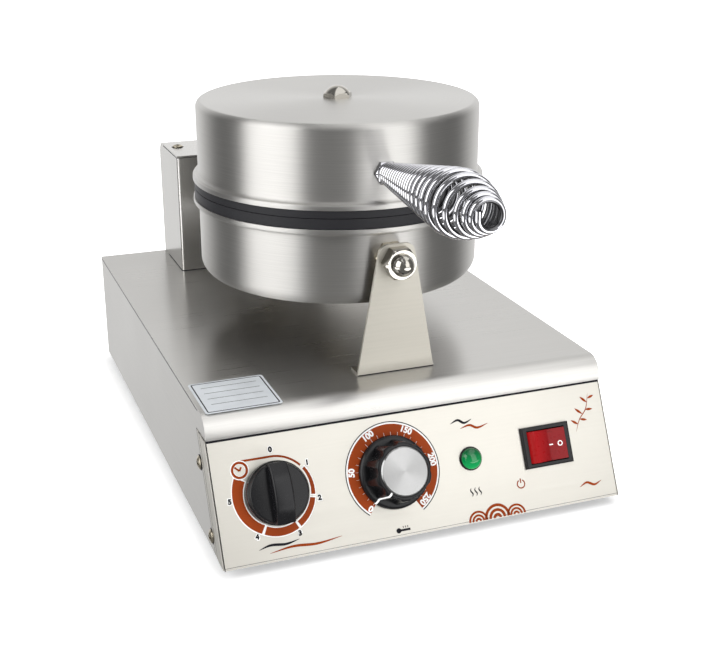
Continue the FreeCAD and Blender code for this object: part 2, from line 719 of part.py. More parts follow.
def hinge_brackets():
    """Ears bolted to the column; the flange is also the stop for the open arm's heel."""
    wall = HINGE_Y - COLUMN_Y
    corners = [(wall, EAR_LOW), (wall, EAR_HIGH), (-2, 8.8), (8.5, 2), (8, -6), (wall + 8, EAR_LOW)]
    for side, name in ((-1, "hinge_bracket_left"), (1, "hinge_bracket_right")):
        x = side * EAR_X
        flange = box(side * EAR_FLANGE_INNER, x + side * EAR_WIDTH / 2, COLUMN_Y - EAR_FLANGE, COLUMN_Y,
                     HINGE_Z + EAR_LOW, HINGE_Z + EAR_HIGH)
        ear = hinge_plate(x, EAR_WIDTH, corners).fuse([eye(x, EAR_WIDTH, EAR_EYE), flange])
        ear = ear.removeSplitter().cut(eye(x, 2 * EAR_WIDTH, PIN_RADIUS + PRESS_FIT))
        for bolt_x, bolt_z in hinge_bolt_places():
            ear = ear.cut(hole((bolt_x, COLUMN_Y, bolt_z), BACK, M5 + HOLE_ROOM))
        keep(name, ear)
    bolts = []
    for x, z in hinge_bolt_places():
        bolts.append(along((x, COLUMN_Y - EAR_FLANGE, z), FORWARD, hex_bolt(16.0)))
        bolts.append(along((x, COLUMN_Y + SHEET, z), BACK, hexagon(M5_FLATS, M5_NUT, M5 + RUNNING_FIT)))
    keep("hinge_bracket_bolts", *bolts)


def hinge_pin():
    pin = eye(0, PIN_LENGTH, PIN_RADIUS)
    clips = []
    for side in (-1, 1):
        x = side * (EAR_X + EAR_WIDTH / 2 + 0.9)
        groove = PIN_RADIUS - 0.5
        pin = pin.cut(eye(x, CLIP_THICK + 0.2, 2 * PIN_RADIUS).cut(eye(x, CLIP_THICK + 0.2, groove)))
        clip = eye(x, CLIP_THICK, CLIP_RADIUS).cut(eye(x, 2 * CLIP_THICK, groove + RUNNING_FIT))
        mouth = box(x - 1, x + 1, HINGE_Y - 1.6, HINGE_Y + 1.6, HINGE_Z - CLIP_RADIUS, HINGE_Z)
        clips.append(clip.cut(mouth))
    keep("hinge_pin", pin)
    keep("hinge_circlips", *clips)


def hinge_arms():
    shell = pan_disc(SADDLE_RADIUS, BOTTOM + LID_RIM, BOTTOM + LID_TOP)
    rims = pan_disc(RIM_RADIUS + 0.5, BOTTOM + PARTING - 15, BOTTOM + PARTING + 15)
    bushes = []
    for side, name in ((-1, "hinge_arm_left"), (1, "hinge_arm_right")):
        x = side * ARM_X
        arm = hinge_plate(x, ARM_WIDTH, ARM_OUTLINE).fuse(eye(x, ARM_WIDTH, ARM_EYE)).removeSplitter()
        keep(name, arm.cut(shell).cut(rims).cut(eye(x, 2 * ARM_WIDTH, BUSH_OUTER + PRESS_FIT)))
        bush = eye(x, ARM_WIDTH + 0.8, BUSH_OUTER)
        bushes.append(bush.cut(eye(x, 2 * ARM_WIDTH, PIN_RADIUS + RUNNING_FIT)))
    keep("hinge_bushes", *bushes)


def lid_saddle():
    """Curved plate on the lid's back that the arms are welded to, its bolts and the lead's grommet."""
    low, high, back = BOTTOM + SADDLE_LOW, BOTTOM + SADDLE_HIGH, PAN_Y + SHELL_RADIUS
    saddle = pan_disc(SADDLE_RADIUS, low, high).cut(pan_disc(SHELL_RADIUS, low, high))
    saddle = saddle.common(box(-SADDLE_HALF, SADDLE_HALF, PAN_Y, PAN_Y + SADDLE_RADIUS, low, high))
    saddle = saddle.cut(hole((0, back, GROMMET_Z), BACK, GROMMET_FLANGE + 1.5))
    bolts = []
    for x, z in saddle_bolt_places():
        saddle = saddle.cut(hole((x, back, z), BACK, M5 + HOLE_ROOM))
        bolts.append(along((x, PAN_Y + SADDLE_RADIUS, z), BACK, hex_bolt(14.0)))
    keep("lid_saddle", saddle)
    keep("lid_saddle_bolts", *bolts)
    neck = rod((0, back - 3.5, GROMMET_Z), BACK, GROMMET_NECK, 8.0)
    grommet = neck.fuse(rod((0, back + 0.1, GROMMET_Z), BACK, GROMMET_FLANGE, 3.0)).removeSplitter()
    keep("lid_grommet", grommet.cut(hole((0, back, GROMMET_Z), BACK, GROMMET_BORE)))


def conduit():
    """Threaded tube that carries the lower pan's back and its wires."""
    back = PAN_Y + SHELL_RADIUS
    start, length = COLUMN_Y + CONDUIT_REACH, COLUMN_Y - back + 2 * CONDUIT_REACH
    place = (0, start, CONDUIT_Z)
    tube = rod(place, FORWARD, CONDUIT_RADIUS, length)
    keep("conduit_tube", tube.cut(rod(place, FORWARD, CONDUIT_RADIUS - CONDUIT_WALL, length)))
    curve_room = 1.4
    seats = [(COLUMN_Y + SHEET, BACK), (COLUMN_Y, FORWARD), (back + 0.1, BACK),
             (back - SHELL_WALL - curve_room, FORWARD)]
    nut = hexagon(CONDUIT_NUT_FLATS, CONDUIT_NUT, CONDUIT_RADIUS + RUNNING_FIT)
    keep("conduit_nuts", *[along((0, y, CONDUIT_Z), way, nut) for y, way in seats])


# Front bracket
def front_bracket():
    face, top = REAR_Y - BRACKET_FRONT, BOTTOM + BRACKET_TOP
    low, high = BRACKET_FOOT_WIDTH / 2, BRACKET_TOP_WIDTH / 2
    plate = prism([(-low, face, TOP), (low, face, TOP), (high, face, top), (-high, face, top)],
                  (0, BRACKET_SHEET, 0))
    corners = [e for e in plate.Edges
               if e.BoundBox.ZMin > top - 0.1 and abs(abs(e.CenterOfMass.x) - high) < 0.1]
    plate = plate.makeFillet(BRACKET_CORNER, corners)
    plate = plate.fuse(box(-low, low, face, face + BRACKET_FOOT, TOP, TOP + BRACKET_SHEET)).removeSplitter()
    plate = plate.cut(hole((0, face, PAN_BOLT_Z), FORWARD, M10 + HOLE_ROOM))
    for x, y in bracket_screw_places():
        plate = plate.cut(hole((x, y, TOP), UP, M4 + HOLE_ROOM))
        screws.append(along((x, y, TOP + BRACKET_SHEET), UP, pan_screw(CAP_SCREW_HEAD, 8.0)))
    keep("front_bracket", plate)


def pan_bolt():
    face, wall = REAR_Y - BRACKET_FRONT, PAN_Y - SHELL_RADIUS
    start = wall + PAN_BOLT_INSIDE
    keep("pan_bolt", rod((0, start, PAN_BOLT_Z), FORWARD, M10, start - face + PAN_BOLT_OUTSIDE))
    seats = [(face + BRACKET_SHEET, BACK, 4.0), (wall - 0.1, FORWARD, 3.6),
             (wall + SHELL_WALL + 0.6, BACK, 5.0)]
    for y, way, thick in seats:
        m10_nuts.append(along((0, y, PAN_BOLT_Z), way, hexagon(M10_FLATS, thick, M10 + RUNNING_FIT)))
    nut = cap_nut(*BRACKET_CAP_NUT, PAN_BOLT_OUTSIDE + 0.2)
    keep("bracket_cap_nut", along((0, face, PAN_BOLT_Z), FORWARD, nut))


# Handle
def handle_point(distance):
    """Point on the handle's axis, measured outwards from the coil's root."""
    root = Vector(HANDLE_X, REAR_Y - HANDLE_ROOT[0], BOTTOM + HANDLE_ROOT[1])
    return root + handle_direction() * distance


def handle_direction():
    return Vector(0, HANDLE_ROOT[0] - HANDLE_TIP[0], HANDLE_TIP[1] - HANDLE_ROOT[1]).normalize()


def handle_length():
    return math.hypot(HANDLE_TIP[0] - HANDLE_ROOT[0], HANDLE_TIP[1] - HANDLE_ROOT[1])


def ease(value, start, end):
    """Smooth step from 0 at start to 1 at end."""
    share = min(max((value - start) / (end - start), 0.0), 1.0)
    return share * share * (3 - 2 * share)


def coil_pitch(turn):
    """Close turns at the root, wide ones round the belly, close again at the tip."""
    wide = ease(turn, *WIDEN_TURNS) * (1 - ease(turn, *CLOSE_TURNS))
    return PITCH_TIGHT + (PITCH_WIDE - PITCH_TIGHT) * wide


def coil_radius(share):
    """Outer radius along the coil: a cone that swells to a belly, then a round nose."""
    if share < COIL_BELLY_AT:
        return COIL_ROOT_RADIUS + (COIL_BELLY_RADIUS - COIL_ROOT_RADIUS) * share / COIL_BELLY_AT
    nose = (share - COIL_BELLY_AT) / (1 - COIL_BELLY_AT)
    return COIL_TIP_RADIUS + (COIL_BELLY_RADIUS - COIL_TIP_RADIUS) * math.cos(nose * math.pi / 2)


def coil_centres(steps):
    """Points of the wire's centre line from root to tip, a number of steps to each turn."""
    reach = [0.0]
    for i in range(COIL_TURNS * steps):
        reach.append(reach[-1] + coil_pitch((i + 0.5) / steps) / steps)
    first, length = COIL_START + WIRE / 2, handle_length() - WIRE - COIL_START
    side = handle_direction().cross(Z_AXIS).normalize()
    up = side.cross(handle_direction())
    points = []
    for i, distance in enumerate(reach):
        share = distance / reach[-1]
        radius = coil_radius(share) - WIRE / 2
        turn = 2 * math.pi * i / steps
        centre = handle_point(first + share * length)
        points.append(centre + side * (radius * math.cos(turn)) + up * (radius * math.sin(turn)))
    return points


def biarc(start, start_way, end, end_way):
    """Two arcs that meet smoothly, from a point and direction to another."""
    chord, ways = end - start, start_way + end_way
    a = 2 * (1 - start_way.dot(end_way))
    b = 2 * chord.dot(ways)
    reach = (math.sqrt(b * b + 4 * a * chord.dot(chord)) - b) / (2 * a)
    joint = (start + start_way * reach + end - end_way * reach) * 0.5
    return [Part.Arc(start, arc_middle(start, start_way, joint), joint).toShape(),
            Part.Arc(joint, arc_middle(end, end_way * -1, joint), end).toShape()]


def arc_middle(start, way, end):
    """Middle of the arc that leaves a point in a direction and reaches another."""
    chord = end - start
    across = (chord - way * chord.dot(way)).normalize()
    radius = chord.dot(chord) / (2 * chord.dot(across))
    centre = start + across * radius
    return centre + ((start - centre) + (end - centre)).normalize() * radius


def handle_coil():
    steps = 96
    points = coil_centres(steps)
    marks = range(0, len(points), steps // 4)
    ways = []
    for i in marks:
        before, after = points[max(i - 1, 0)], points[min(i + 1, len(points) - 1)]
        ways.append((after - before).normalize())
    knots = [points[i] for i in marks]
    tail = knots[0] - ways[0] * WIRE
    edges = [Part.makeLine(tail, knots[0])]
    for k in range(len(knots) - 1):
        edges += biarc(knots[k], ways[k], knots[k + 1], ways[k + 1])
    edges.append(Part.makeLine(knots[-1], knots[-1] + ways[-1] * WIRE))
    spine = Part.Wire(edges)
    pipe = Part.BRepOffsetAPI.MakePipeShell(spine)
    pipe.add(Part.Wire(Part.makeCircle(WIRE / 2, tail, ways[0])))
    pipe.build()
    pipe.makeSolid()
    keep("handle_coil", pipe.shape())
    least = min((points[i] - points[j]).Length
                for i in range(0, len(points), 4)
                for j in range(i + steps // 2, min(i + 2 * steps, len(points)), 2))
    wound = math.pi * (WIRE / 2) ** 2 * spine.Length
    print("handle coil: least gap to itself %.2f mm" % (least - WIRE))
    print("handle coil: volume %.0f, section times length %.0f" % (pipe.shape().Volume, wound))


def handle_stud():
    length = STUD_INSIDE + STUD_OUTSIDE
    keep("handle_stud", rod(handle_point(-STUD_INSIDE), handle_direction(), M8, length))
    keep("handle_nuts", *[
        along(handle_point(start), handle_direction(), hexagon(HANDLE_NUT_FLATS, thick, M8 + RUNNING_FIT))
        for start, thick in HANDLE_NUTS])


# Controls, in the panel's own frame
def control_body(x, size):
    """Works behind the panel, with a threaded bush through it and a bore for the shaft."""
    wide, tall, deep = size
    works = box(x - wide / 2, x + wide / 2, PANEL_ROW - tall / 2, PANEL_ROW + tall / 2,
                -SHEET - deep, -SHEET)
    works = works.fuse(rod((x, PANEL_ROW, -SHEET), UP, BUSH_RADIUS, SHEET + BUSH_RISE)).removeSplitter()
    bore = rod((x, PANEL_ROW, -SHAFT_BACK - 0.5), UP, SHAFT_RADIUS + RUNNING_FIT, 30)
    nut = hexagon(SHAFT_NUT_FLATS, SHAFT_NUT, BUSH_RADIUS + RUNNING_FIT)
    panel_nuts.append(on_panel(along((x, PANEL_ROW, 0), UP, nut)))
    return on_panel(works.cut(bore))


def control_shaft(x):
    return on_panel(rod((x, PANEL_ROW, -SHAFT_BACK), UP, SHAFT_RADIUS, SHAFT_BACK + SHAFT_TOP))


def hollow_knob(knob, x):
    """Clear a knob's underside for the nut and bore it for the shaft."""
    knob = knob.cut(rod((x, PANEL_ROW, 0), UP, KNOB_RECESS_RADIUS, KNOB_RECESS_TOP))
    return knob.cut(rod((x, PANEL_ROW, 0), UP, SHAFT_RADIUS + 0.01, SHAFT_TOP))


def timer():
    x, radius = TIMER_X, TIMER_KNOB_RADIUS
    keep("timer_body", control_body(x, TIMER_BODY))
    keep("timer_shaft", control_shaft(x))
    disc = rod((x, PANEL_ROW, KNOB_LIFT), UP, radius, TIMER_DISC_TOP - KNOB_LIFT)
    disc = disc.makeFillet(TIMER_DISC_EDGE, edges_at_top(disc, TIMER_DISC_TOP))
    wide = TIMER_GRIP_WIDTH / 2
    grip = box(x - wide, x + wide, PANEL_ROW - radius, PANEL_ROW + radius, 3.0, TIMER_GRIP_TOP)
    grip = grip.common(hole((x, PANEL_ROW, 0), UP, radius - 0.4, 2 * TIMER_GRIP_TOP))
    grip = grip.common(hole((x, PANEL_ROW, TIMER_GRIP_TOP - TIMER_GRIP_CROWN), RIGHT, TIMER_GRIP_CROWN))
    keep("timer_knob", on_panel(hollow_knob(disc.fuse(grip).removeSplitter(), x)))


def thermostat():
    x = THERMOSTAT_X
    keep("thermostat_body", control_body(x, THERMOSTAT_BODY))
    keep("thermostat_shaft", control_shaft(x))
    foot, low = Vector(x, PANEL_ROW, KNOB_LIFT), SKIRT_TOP - 0.6
    skirt = Part.makeCone(SKIRT_RADIUS, SKIRT_RADIUS_TOP, SKIRT_TOP - KNOB_LIFT, foot)
    fluted = Part.makeCone(FLUTED_RADIUS_LOW, FLUTED_RADIUS_TOP, FLUTED_TOP - low, Vector(x, PANEL_ROW, low))
    for i in range(FLUTES):
        turn = math.radians(FLUTE_TURN + 360 / FLUTES * i)
        across, up = FLUTE_PITCH_RADIUS * math.cos(turn), FLUTE_PITCH_RADIUS * math.sin(turn)
        flute = rod((x + across, PANEL_ROW + up, SKIRT_TOP), UP, FLUTE_RADIUS, FLUTED_TOP)
        fluted = fluted.cut(flute)
    knob = hollow_knob(skirt.fuse(fluted).removeSplitter(), x)
    keep("thermostat_knob", on_panel(knob.cut(rod((x, PANEL_ROW, CAP_SEAT), UP, CAP_RADIUS + 0.1, 5))))
    keep("thermostat_cap", on_panel(rod((x, PANEL_ROW, CAP_SEAT + PRESS_FIT), UP, CAP_RADIUS, CAP_THICK)))


def lamp():
    place = (LAMP_X, PANEL_ROW, 0)
    bezel = rod(place, UP, LAMP_BEZEL_RADIUS, LAMP_BEZEL_RISE)
    bezel = bezel.makeFillet(0.4, edges_at_top(bezel, LAMP_BEZEL_RISE))
    bezel = bezel.fuse(rod(place, DOWN, LAMP_BARREL_RADIUS, LAMP_BARREL)).removeSplitter()
    seat = rod((LAMP_X, PANEL_ROW, LAMP_LENS_SEAT - PRESS_FIT), UP, LAMP_LENS_NECK + 0.1, 5)
    keep("lamp_bezel", on_panel(bezel.cut(seat)))
    edge = LAMP_BEZEL_RISE + RUNNING_FIT
    lens = rod((0, 0, LAMP_LENS_SEAT), UP, LAMP_LENS_NECK, edge - LAMP_LENS_SEAT)
    lens = lens.fuse(dome(LAMP_LENS_RADIUS, LAMP_DOME, edge)).removeSplitter()
    keep("lamp_lens", on_panel(along(place, UP, lens)))
    nut = hexagon(15.0, 3.0, LAMP_BARREL_RADIUS + RUNNING_FIT)
    panel_nuts.append(on_panel(along((LAMP_X, PANEL_ROW, -SHEET), DOWN, nut)))


def centred(size, z0, z1):
    """Block about the switch's centre, with a size along the panel and up its slope."""
    wide, tall = size[0] / 2, size[1] / 2
    return box(SWITCH_X - wide, SWITCH_X + wide, PANEL_ROW - tall, PANEL_ROW + tall, z0, z1)


def switch_frame():
    rise, deep = SWITCH_BEZEL[2], SWITCH_BODY[2]
    frame = centred(SWITCH_BEZEL, 0, rise)
    frame = frame.makeFillet(1.1, edges_at_top(frame, rise))
    frame = frame.fuse(centred(SWITCH_BODY, -deep, rise / 2)).removeSplitter()
    frame = frame.cut(centred(SWITCH_WELL, -SWITCH_WELL[2], 5))
    pivot = (SWITCH_X, PANEL_ROW, ROCKER_PIVOT)
    frame = frame.cut(hole(pivot, BACK, ROCKER_PIN_RADIUS + RUNNING_FIT, ROCKER_PIN_REACH + 0.2))
    keep("switch_frame", on_panel(frame))
    wide, thick, long = TERMINAL
    tabs = [box(SWITCH_X + x - wide / 2, SWITCH_X + x + wide / 2, PANEL_ROW + v - thick / 2,
                PANEL_ROW + v + thick / 2, -deep - long, -deep) for x in (-7, 7) for v in (-5, 5)]
    keep("switch_terminals", *[on_panel(tab) for tab in tabs])


def switch_rocker():
    """Rocker with a shallow V face and ends that are round about the pivot, stored with its O end in."""
    low = PANEL_ROW - ROCKER_HALF_WIDTH

    def place(x, z):
        return Vector(SWITCH_X + x, low, ROCKER_PIVOT + z)

    def end(side):
        turns = [math.radians(t) for t in (ROCKER_RAISED, 0, ROCKER_BELOW)]
        return [place(side * ROCKER_RADIUS * math.cos(t), ROCKER_RADIUS * math.sin(t)) for t in turns]

    right, left, valley = end(1), end(-1), place(0, ROCKER_VALLEY)
    edges = [Part.makeLine(valley, right[0]), Part.Arc(*right).toShape(), Part.makeLine(right[2], left[2]),
             Part.Arc(*reversed(left)).toShape(), Part.makeLine(left[0], valley)]
    rocker = Part.Face(Part.Wire(edges)).extrude(Vector(0, 2 * ROCKER_HALF_WIDTH, 0))
    pivot = (SWITCH_X, PANEL_ROW, ROCKER_PIVOT)
    rocker = rocker.fuse(hole(pivot, BACK, ROCKER_PIN_RADIUS, ROCKER_PIN_REACH)).removeSplitter()
    rocker.rotate(Vector(*pivot), Y_AXIS, ROCKER_HALF_SWING)
    keep("switch_rocker", on_panel(rocker))


# Power entry
def power_entry():
    collar_radius, collar = GLAND_COLLAR
    wide, narrow, nose = GLAND_NOSE
    place = (GLAND_X, REAR_Y, GLAND_Z)
    gland = rod(place, BACK, collar_radius, collar).fuse([
        Part.makeCone(wide, narrow, nose, Vector(GLAND_X, REAR_Y + collar, GLAND_Z), Y_AXIS),
        rod(place, FORWARD, GLAND_THREAD, GLAND_THREAD_LENGTH)]).removeSplitter()
    keep("cord_gland", gland.cut(hole(place, BACK, GLAND_BORE, 20)))
    nut = hexagon(22.0, 4.0, GLAND_THREAD + RUNNING_FIT)
    panel_nuts.append(along((GLAND_X, REAR_Y - SHEET, GLAND_Z), FORWARD, nut))
    low = BOTTOM + BOTTOM_RAISE + SHEET
    front, back = REAR_Y - BLOCK_BACK[0], REAR_Y - BLOCK_BACK[1]
    block = box(*BLOCK_X, front, back, low, low + BLOCK_HEIGHT)
    radius, deep = BLOCK_WELL
    step = (BLOCK_X[1] - BLOCK_X[0]) / BLOCK_WAYS
    for i in range(BLOCK_WAYS):
        well = (BLOCK_X[0] + step * (i + 0.5), (front + back) / 2, low + BLOCK_HEIGHT - deep)
        block = block.cut(rod(well, UP, radius, 2 * deep))
    keep("terminal_block", block)


def build():
    for make in (top_cover, side_panels, panel_angles, control_panel, rear_panel, bottom_plate, feet,
                 column_body, column_cover, lower_pan, upper_pan, hinge_brackets, hinge_pin, hinge_arms,
                 lid_saddle, conduit, front_bracket, pan_bolt, handle_coil, handle_stud, timer, thermostat,
                 lamp, switch_frame, switch_rocker, power_entry):
        make()
    keep("pan_head_screws", *screws)
    keep("m10_nuts", *m10_nuts)
    keep("panel_nuts", *panel_nuts)


def export():
    os.makedirs("parts", exist_ok=True)
    whole = FreeCAD.BoundBox()
    for name, shape in parts.items():
        for solid in shape.Solids:
            if not solid.isValid():
                print("not valid:", name)
        whole.add(shape.BoundBox)
        shape.exportStep("parts/%s.step" % name)
    print(len(parts), "pieces")
    print("box x %.2f to %.2f, y %.2f to %.2f, z %.2f to %.2f" % (
        whole.XMin, whole.XMax, whole.YMin, whole.YMax, whole.ZMin, whole.ZMax))


build()
export()
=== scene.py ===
"""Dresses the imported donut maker: finishes, spun pans, coiled handle, knobs, lamp, switch and panel print.

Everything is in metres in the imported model's frame: +X right, +Y back, +Z up.
Sizes along the sloped panel are given as x, distance up the slope and height above it.
"""
import math
from types import SimpleNamespace

import bmesh
import bpy
from bpy.props import FloatProperty, FloatVectorProperty, IntProperty, PointerProperty
from mathutils import Matrix, Vector


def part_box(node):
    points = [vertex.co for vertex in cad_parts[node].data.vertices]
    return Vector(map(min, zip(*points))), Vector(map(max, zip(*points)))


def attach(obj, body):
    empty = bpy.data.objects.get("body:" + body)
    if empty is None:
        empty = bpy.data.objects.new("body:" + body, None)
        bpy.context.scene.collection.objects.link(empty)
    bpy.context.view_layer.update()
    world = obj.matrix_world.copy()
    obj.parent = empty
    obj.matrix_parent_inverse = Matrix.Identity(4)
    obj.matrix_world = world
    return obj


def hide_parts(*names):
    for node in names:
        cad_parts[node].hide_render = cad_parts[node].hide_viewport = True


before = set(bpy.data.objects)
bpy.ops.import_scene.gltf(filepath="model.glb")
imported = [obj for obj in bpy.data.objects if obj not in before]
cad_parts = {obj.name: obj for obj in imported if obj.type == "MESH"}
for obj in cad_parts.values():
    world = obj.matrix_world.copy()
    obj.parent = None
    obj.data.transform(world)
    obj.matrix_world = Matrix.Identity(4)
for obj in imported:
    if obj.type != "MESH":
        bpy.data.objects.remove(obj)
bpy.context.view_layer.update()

bl_info = {
    "name": "Donut Maker Dressing",
    "version": (1, 0, 0),
    "blender": (4, 5, 0),
    "location": "View3D > Sidebar > Donut Maker",
    "description": "Builds the visible pieces and finishes of a donut maker around its packed CAD model",
    "category": "Add Mesh",
}

MM = 0.001
IN_MM = Matrix.Scale(MM, 4)
# Sides of a full turn on the pans, the knobs, the lamp and the screws
SIDES = 160
KNOB_SIDES = 128
LAMP_SIDES = 64
SCREW_SIDES = 32
PAN_Y = 9.5
PAN_PLACE = Matrix.Translation((0, PAN_Y * MM, 0)) @ IN_MM
PANEL_TILT = math.radians(26.6)
PANEL_FOOT = Vector((0.0, -149.5, 6.0)) * MM
PANEL_RIGHT = Vector((1, 0, 0))
PANEL_UP = Vector((0, math.sin(PANEL_TILT), math.cos(PANEL_TILT)))
PANEL_OUT = Vector((0, -math.cos(PANEL_TILT), math.sin(PANEL_TILT)))


# Settings that a user would change
def length(name, description, default):
    return FloatProperty(name=name, description=description, default=default * MM, unit="LENGTH", precision=5)


def colour(name, description, default):
    return FloatVectorProperty(name=name, description=description, default=default, size=3,
                               subtype="COLOR", min=0.0, max=1.0)


class DonutMakerSizes(bpy.types.PropertyGroup):
    shell_radius: length("Pan radius", "Outer radius of both spun pans", 89.4)
    rim_radius: length("Rim radius", "Outer radius of the pans' flared rims", 92.8)
    shell_wall: length("Pan wall", "Sheet thickness of the spun pans", 1.0)
    rim_skirt: length("Rim skirt", "Height of the short skirt round both rims", 2.4)
    lid_top: length("Lid top", "Height of the lid's flat top", 232.8)
    lid_rim: length("Lid rim", "Height of the lid's rim", 183.5)
    lid_corner: length("Lid corner", "Radius between the lid's top and side", 4.0)
    pan_rim: length("Pan rim", "Height of the lower pan's rim", 172.1)
    pan_bottom: length("Pan bottom", "Height of the lower pan's flat bottom", 123.4)
    pan_corner: length("Pan corner", "Radius between the lower pan's bottom and side", 9.0)
    wire: length("Handle wire", "Diameter of the coiled handle's wire", 3.5)
    coil_turns: IntProperty(name="Handle turns", description="Turns of the coiled handle", default=24, min=4)
    timer_radius: length("Timer knob radius", "Radius of the timer knob's disc", 18.1)
    skirt_radius: length("Thermostat skirt radius", "Radius of the thermostat knob's skirt", 21.6)


class DonutMakerColours(bpy.types.PropertyGroup):
    steel: colour("Steel", "Brushed stainless steel", (0.56, 0.55, 0.53))
    panel: colour("Panel", "Satin control panel", (0.60, 0.58, 0.53))
    rust: colour("Print rust", "Rust-coloured print", (0.26, 0.041, 0.006))
    ink: colour("Print dark", "Dark print", (0.012, 0.012, 0.016))
    black: colour("Moulded black", "Knobs and switch frame", (0.007, 0.007, 0.008))
    red: colour("Rocker red", "Red rocker", (0.19, 0.004, 0.006))
    green: colour("Lamp green", "Green lamp lens", (0.0, 0.10, 0.03))
    floor: colour("Floor", "Pale floor", (0.94, 0.94, 0.94))


def sizes():
    """The user's sizes, with every length in millimetres."""
    group = bpy.context.scene.donut_maker_sizes
    values = {key: getattr(group, key) for key in DonutMakerSizes.__annotations__}
    return SimpleNamespace(**{key: v / MM if isinstance(v, float) else v for key, v in values.items()})


def colours():
    return bpy.context.scene.donut_maker_colours


# Node helpers
def plug(socket, value):
    """Link another node's socket to a socket, or set the socket's own value."""
    if isinstance(value, bpy.types.NodeSocket):
        socket.id_data.links.new(value, socket)
    else:
        socket.default_value = value


def put(tree, kind, values=None, **settings):
    """Add a node, set its fields, and set or link its inputs by name or number."""
    item = tree.nodes.new(kind)
    for name, value in settings.items():
        setattr(item, name, value)
    for key, value in (values or {}).items():
        plug(item.inputs[key], value)
    return item


def new_material(name):
    """Empty material with a Principled shader on its output; returns the material, tree and shader."""
    material = bpy.data.materials.new(name)
    material.use_nodes = True
    tree = material.node_tree
    tree.nodes.clear()
    shader = tree.nodes.new("ShaderNodeBsdfPrincipled")
    put(tree, "ShaderNodeOutputMaterial", {"Surface": shader.outputs[0]})
    return material, tree, shader


def setting(shader, **values):
    """Set or link a shader's sockets; underscores stand for spaces."""
    for key, value in values.items():
        plug(shader.inputs[key.replace("_", " ")], value)


def coordinates(tree, source="Object", scale=(1, 1, 1)):
    """Object or UV coordinates stretched by a scale."""
    place = tree.nodes.new("ShaderNodeTexCoord")
    return put(tree, "ShaderNodeMapping", {"Vector": place.outputs[source], "Scale": scale}).outputs[0]


def noise(tree, vector, scale, detail=2.0, rough=0.5):
    return put(tree, "ShaderNodeTexNoise", {"Vector": vector, "Scale": scale, "Detail": detail,
                                            "Roughness": rough}).outputs[0]


def spread(tree, value, low, high, start=0.0, end=1.0):
    """Map a value from between start and end to between low and high."""
    return put(tree, "ShaderNodeMapRange", {"Value": value, "From Min": start, "From Max": end,
                                            "To Min": low, "To Max": high}).outputs[0]


def tint(tree, value, dark, light):
    """Mix two colours by a value."""
    mixer = put(tree, "ShaderNodeMix", {"Factor": value}, data_type="RGBA")
    mixer.inputs[6].default_value = (*dark, 1)
    mixer.inputs[7].default_value = (*light, 1)
    return mixer.outputs[2]


def shade(base, factor):
    return tuple(min(1.0, c * factor) for c in base)


def vector_math(tree, operation, *values):
    """Outputs of a Vector Math node."""
    return put(tree, "ShaderNodeVectorMath", dict(enumerate(values)), operation=operation).outputs


# How far streaks and clouds change a metal's roughness, as shares of it
STREAK_ROUGHNESS = (-0.15, 0.15)
CLOUD_ROUGHNESS = (-0.08, 0.1)
METAL_CLOUD = 14.0
METAL_BUMP = 0.35
# How far a moulding's colour and roughness change
MOULDED_TINT = (0.85, 1.2)
MOULDED_ROUGHNESS = (-0.06, 0.08)
MOULDED_CLOUD = 60.0
MOULDED_BUMP = 0.25


def brushed_metal(name, base, rough, grain, source="Object", along=None, anisotropy=0.0, depth=0.02,
                  contrast=0.07, cloudy=0.0):
    """Metal with fine streaks, soft cloudy wear and small bumps.

    Grain stretches the streaks, and along is the way that the brushing runs, so that highlights
    spread across it. Streaks that follow a UV map run round it along U. Cloudy is the share of the
    colour change that goes in soft patches.
    """
    material, tree, shader = new_material(name)
    streak = noise(tree, coordinates(tree, source, grain), 1.0, 3.0, 0.6)
    cloud = noise(tree, coordinates(tree), METAL_CLOUD, 3.0)
    worn = put(tree, "ShaderNodeMix", {0: cloudy, 2: streak, 3: cloud}).outputs[0]
    changes = [spread(tree, value, low * rough, high * rough)
               for value, (low, high) in ((streak, STREAK_ROUGHNESS), (cloud, CLOUD_ROUGHNESS))]
    uneven = put(tree, "ShaderNodeMath", dict(enumerate(changes)), operation="ADD").outputs[0]
    total = put(tree, "ShaderNodeMath", {0: uneven, 1: rough}, operation="ADD").outputs[0]
    bump = put(tree, "ShaderNodeBump", {"Height": streak, "Strength": METAL_BUMP, "Distance": depth * MM})
    setting(shader, Base_Color=tint(tree, worn, shade(base, 1 - contrast), shade(base, 1 + contrast)),
            Roughness=total, Normal=bump.outputs[0], Metallic=1.0, Anisotropic=anisotropy,
            Anisotropic_Rotation=0.25)
    if source == "UV":
        setting(shader, Tangent=put(tree, "ShaderNodeTangent", direction_type="UV_MAP").outputs[0])
    elif along:
        setting(shader, Tangent=put(tree, "ShaderNodeCombineXYZ", dict(enumerate(along))).outputs[0])
    return material


def moulded(name, base, rough, grain=900.0, depth=0.03, **more):
    """Moulded plastic or rubber with a fine texture and faint colour change."""
    material, tree, shader = new_material(name)
    fine = noise(tree, coordinates(tree), grain, 3.0)
    cloud = noise(tree, coordinates(tree), MOULDED_CLOUD)
    bump = put(tree, "ShaderNodeBump", {"Height": fine, "Strength": MOULDED_BUMP, "Distance": depth * MM})
    setting(shader, Base_Color=tint(tree, cloud, *[shade(base, factor) for factor in MOULDED_TINT]),
            Roughness=spread(tree, fine, *[rough + change for change in MOULDED_ROUGHNESS]),
            Normal=bump.outputs[0], **more)
    return material


def print_ink(name, base):
    """Flat ink or paper."""
    return moulded(name, base, 0.5, 800.0, 0.005, Specular_IOR_Level=0.1)


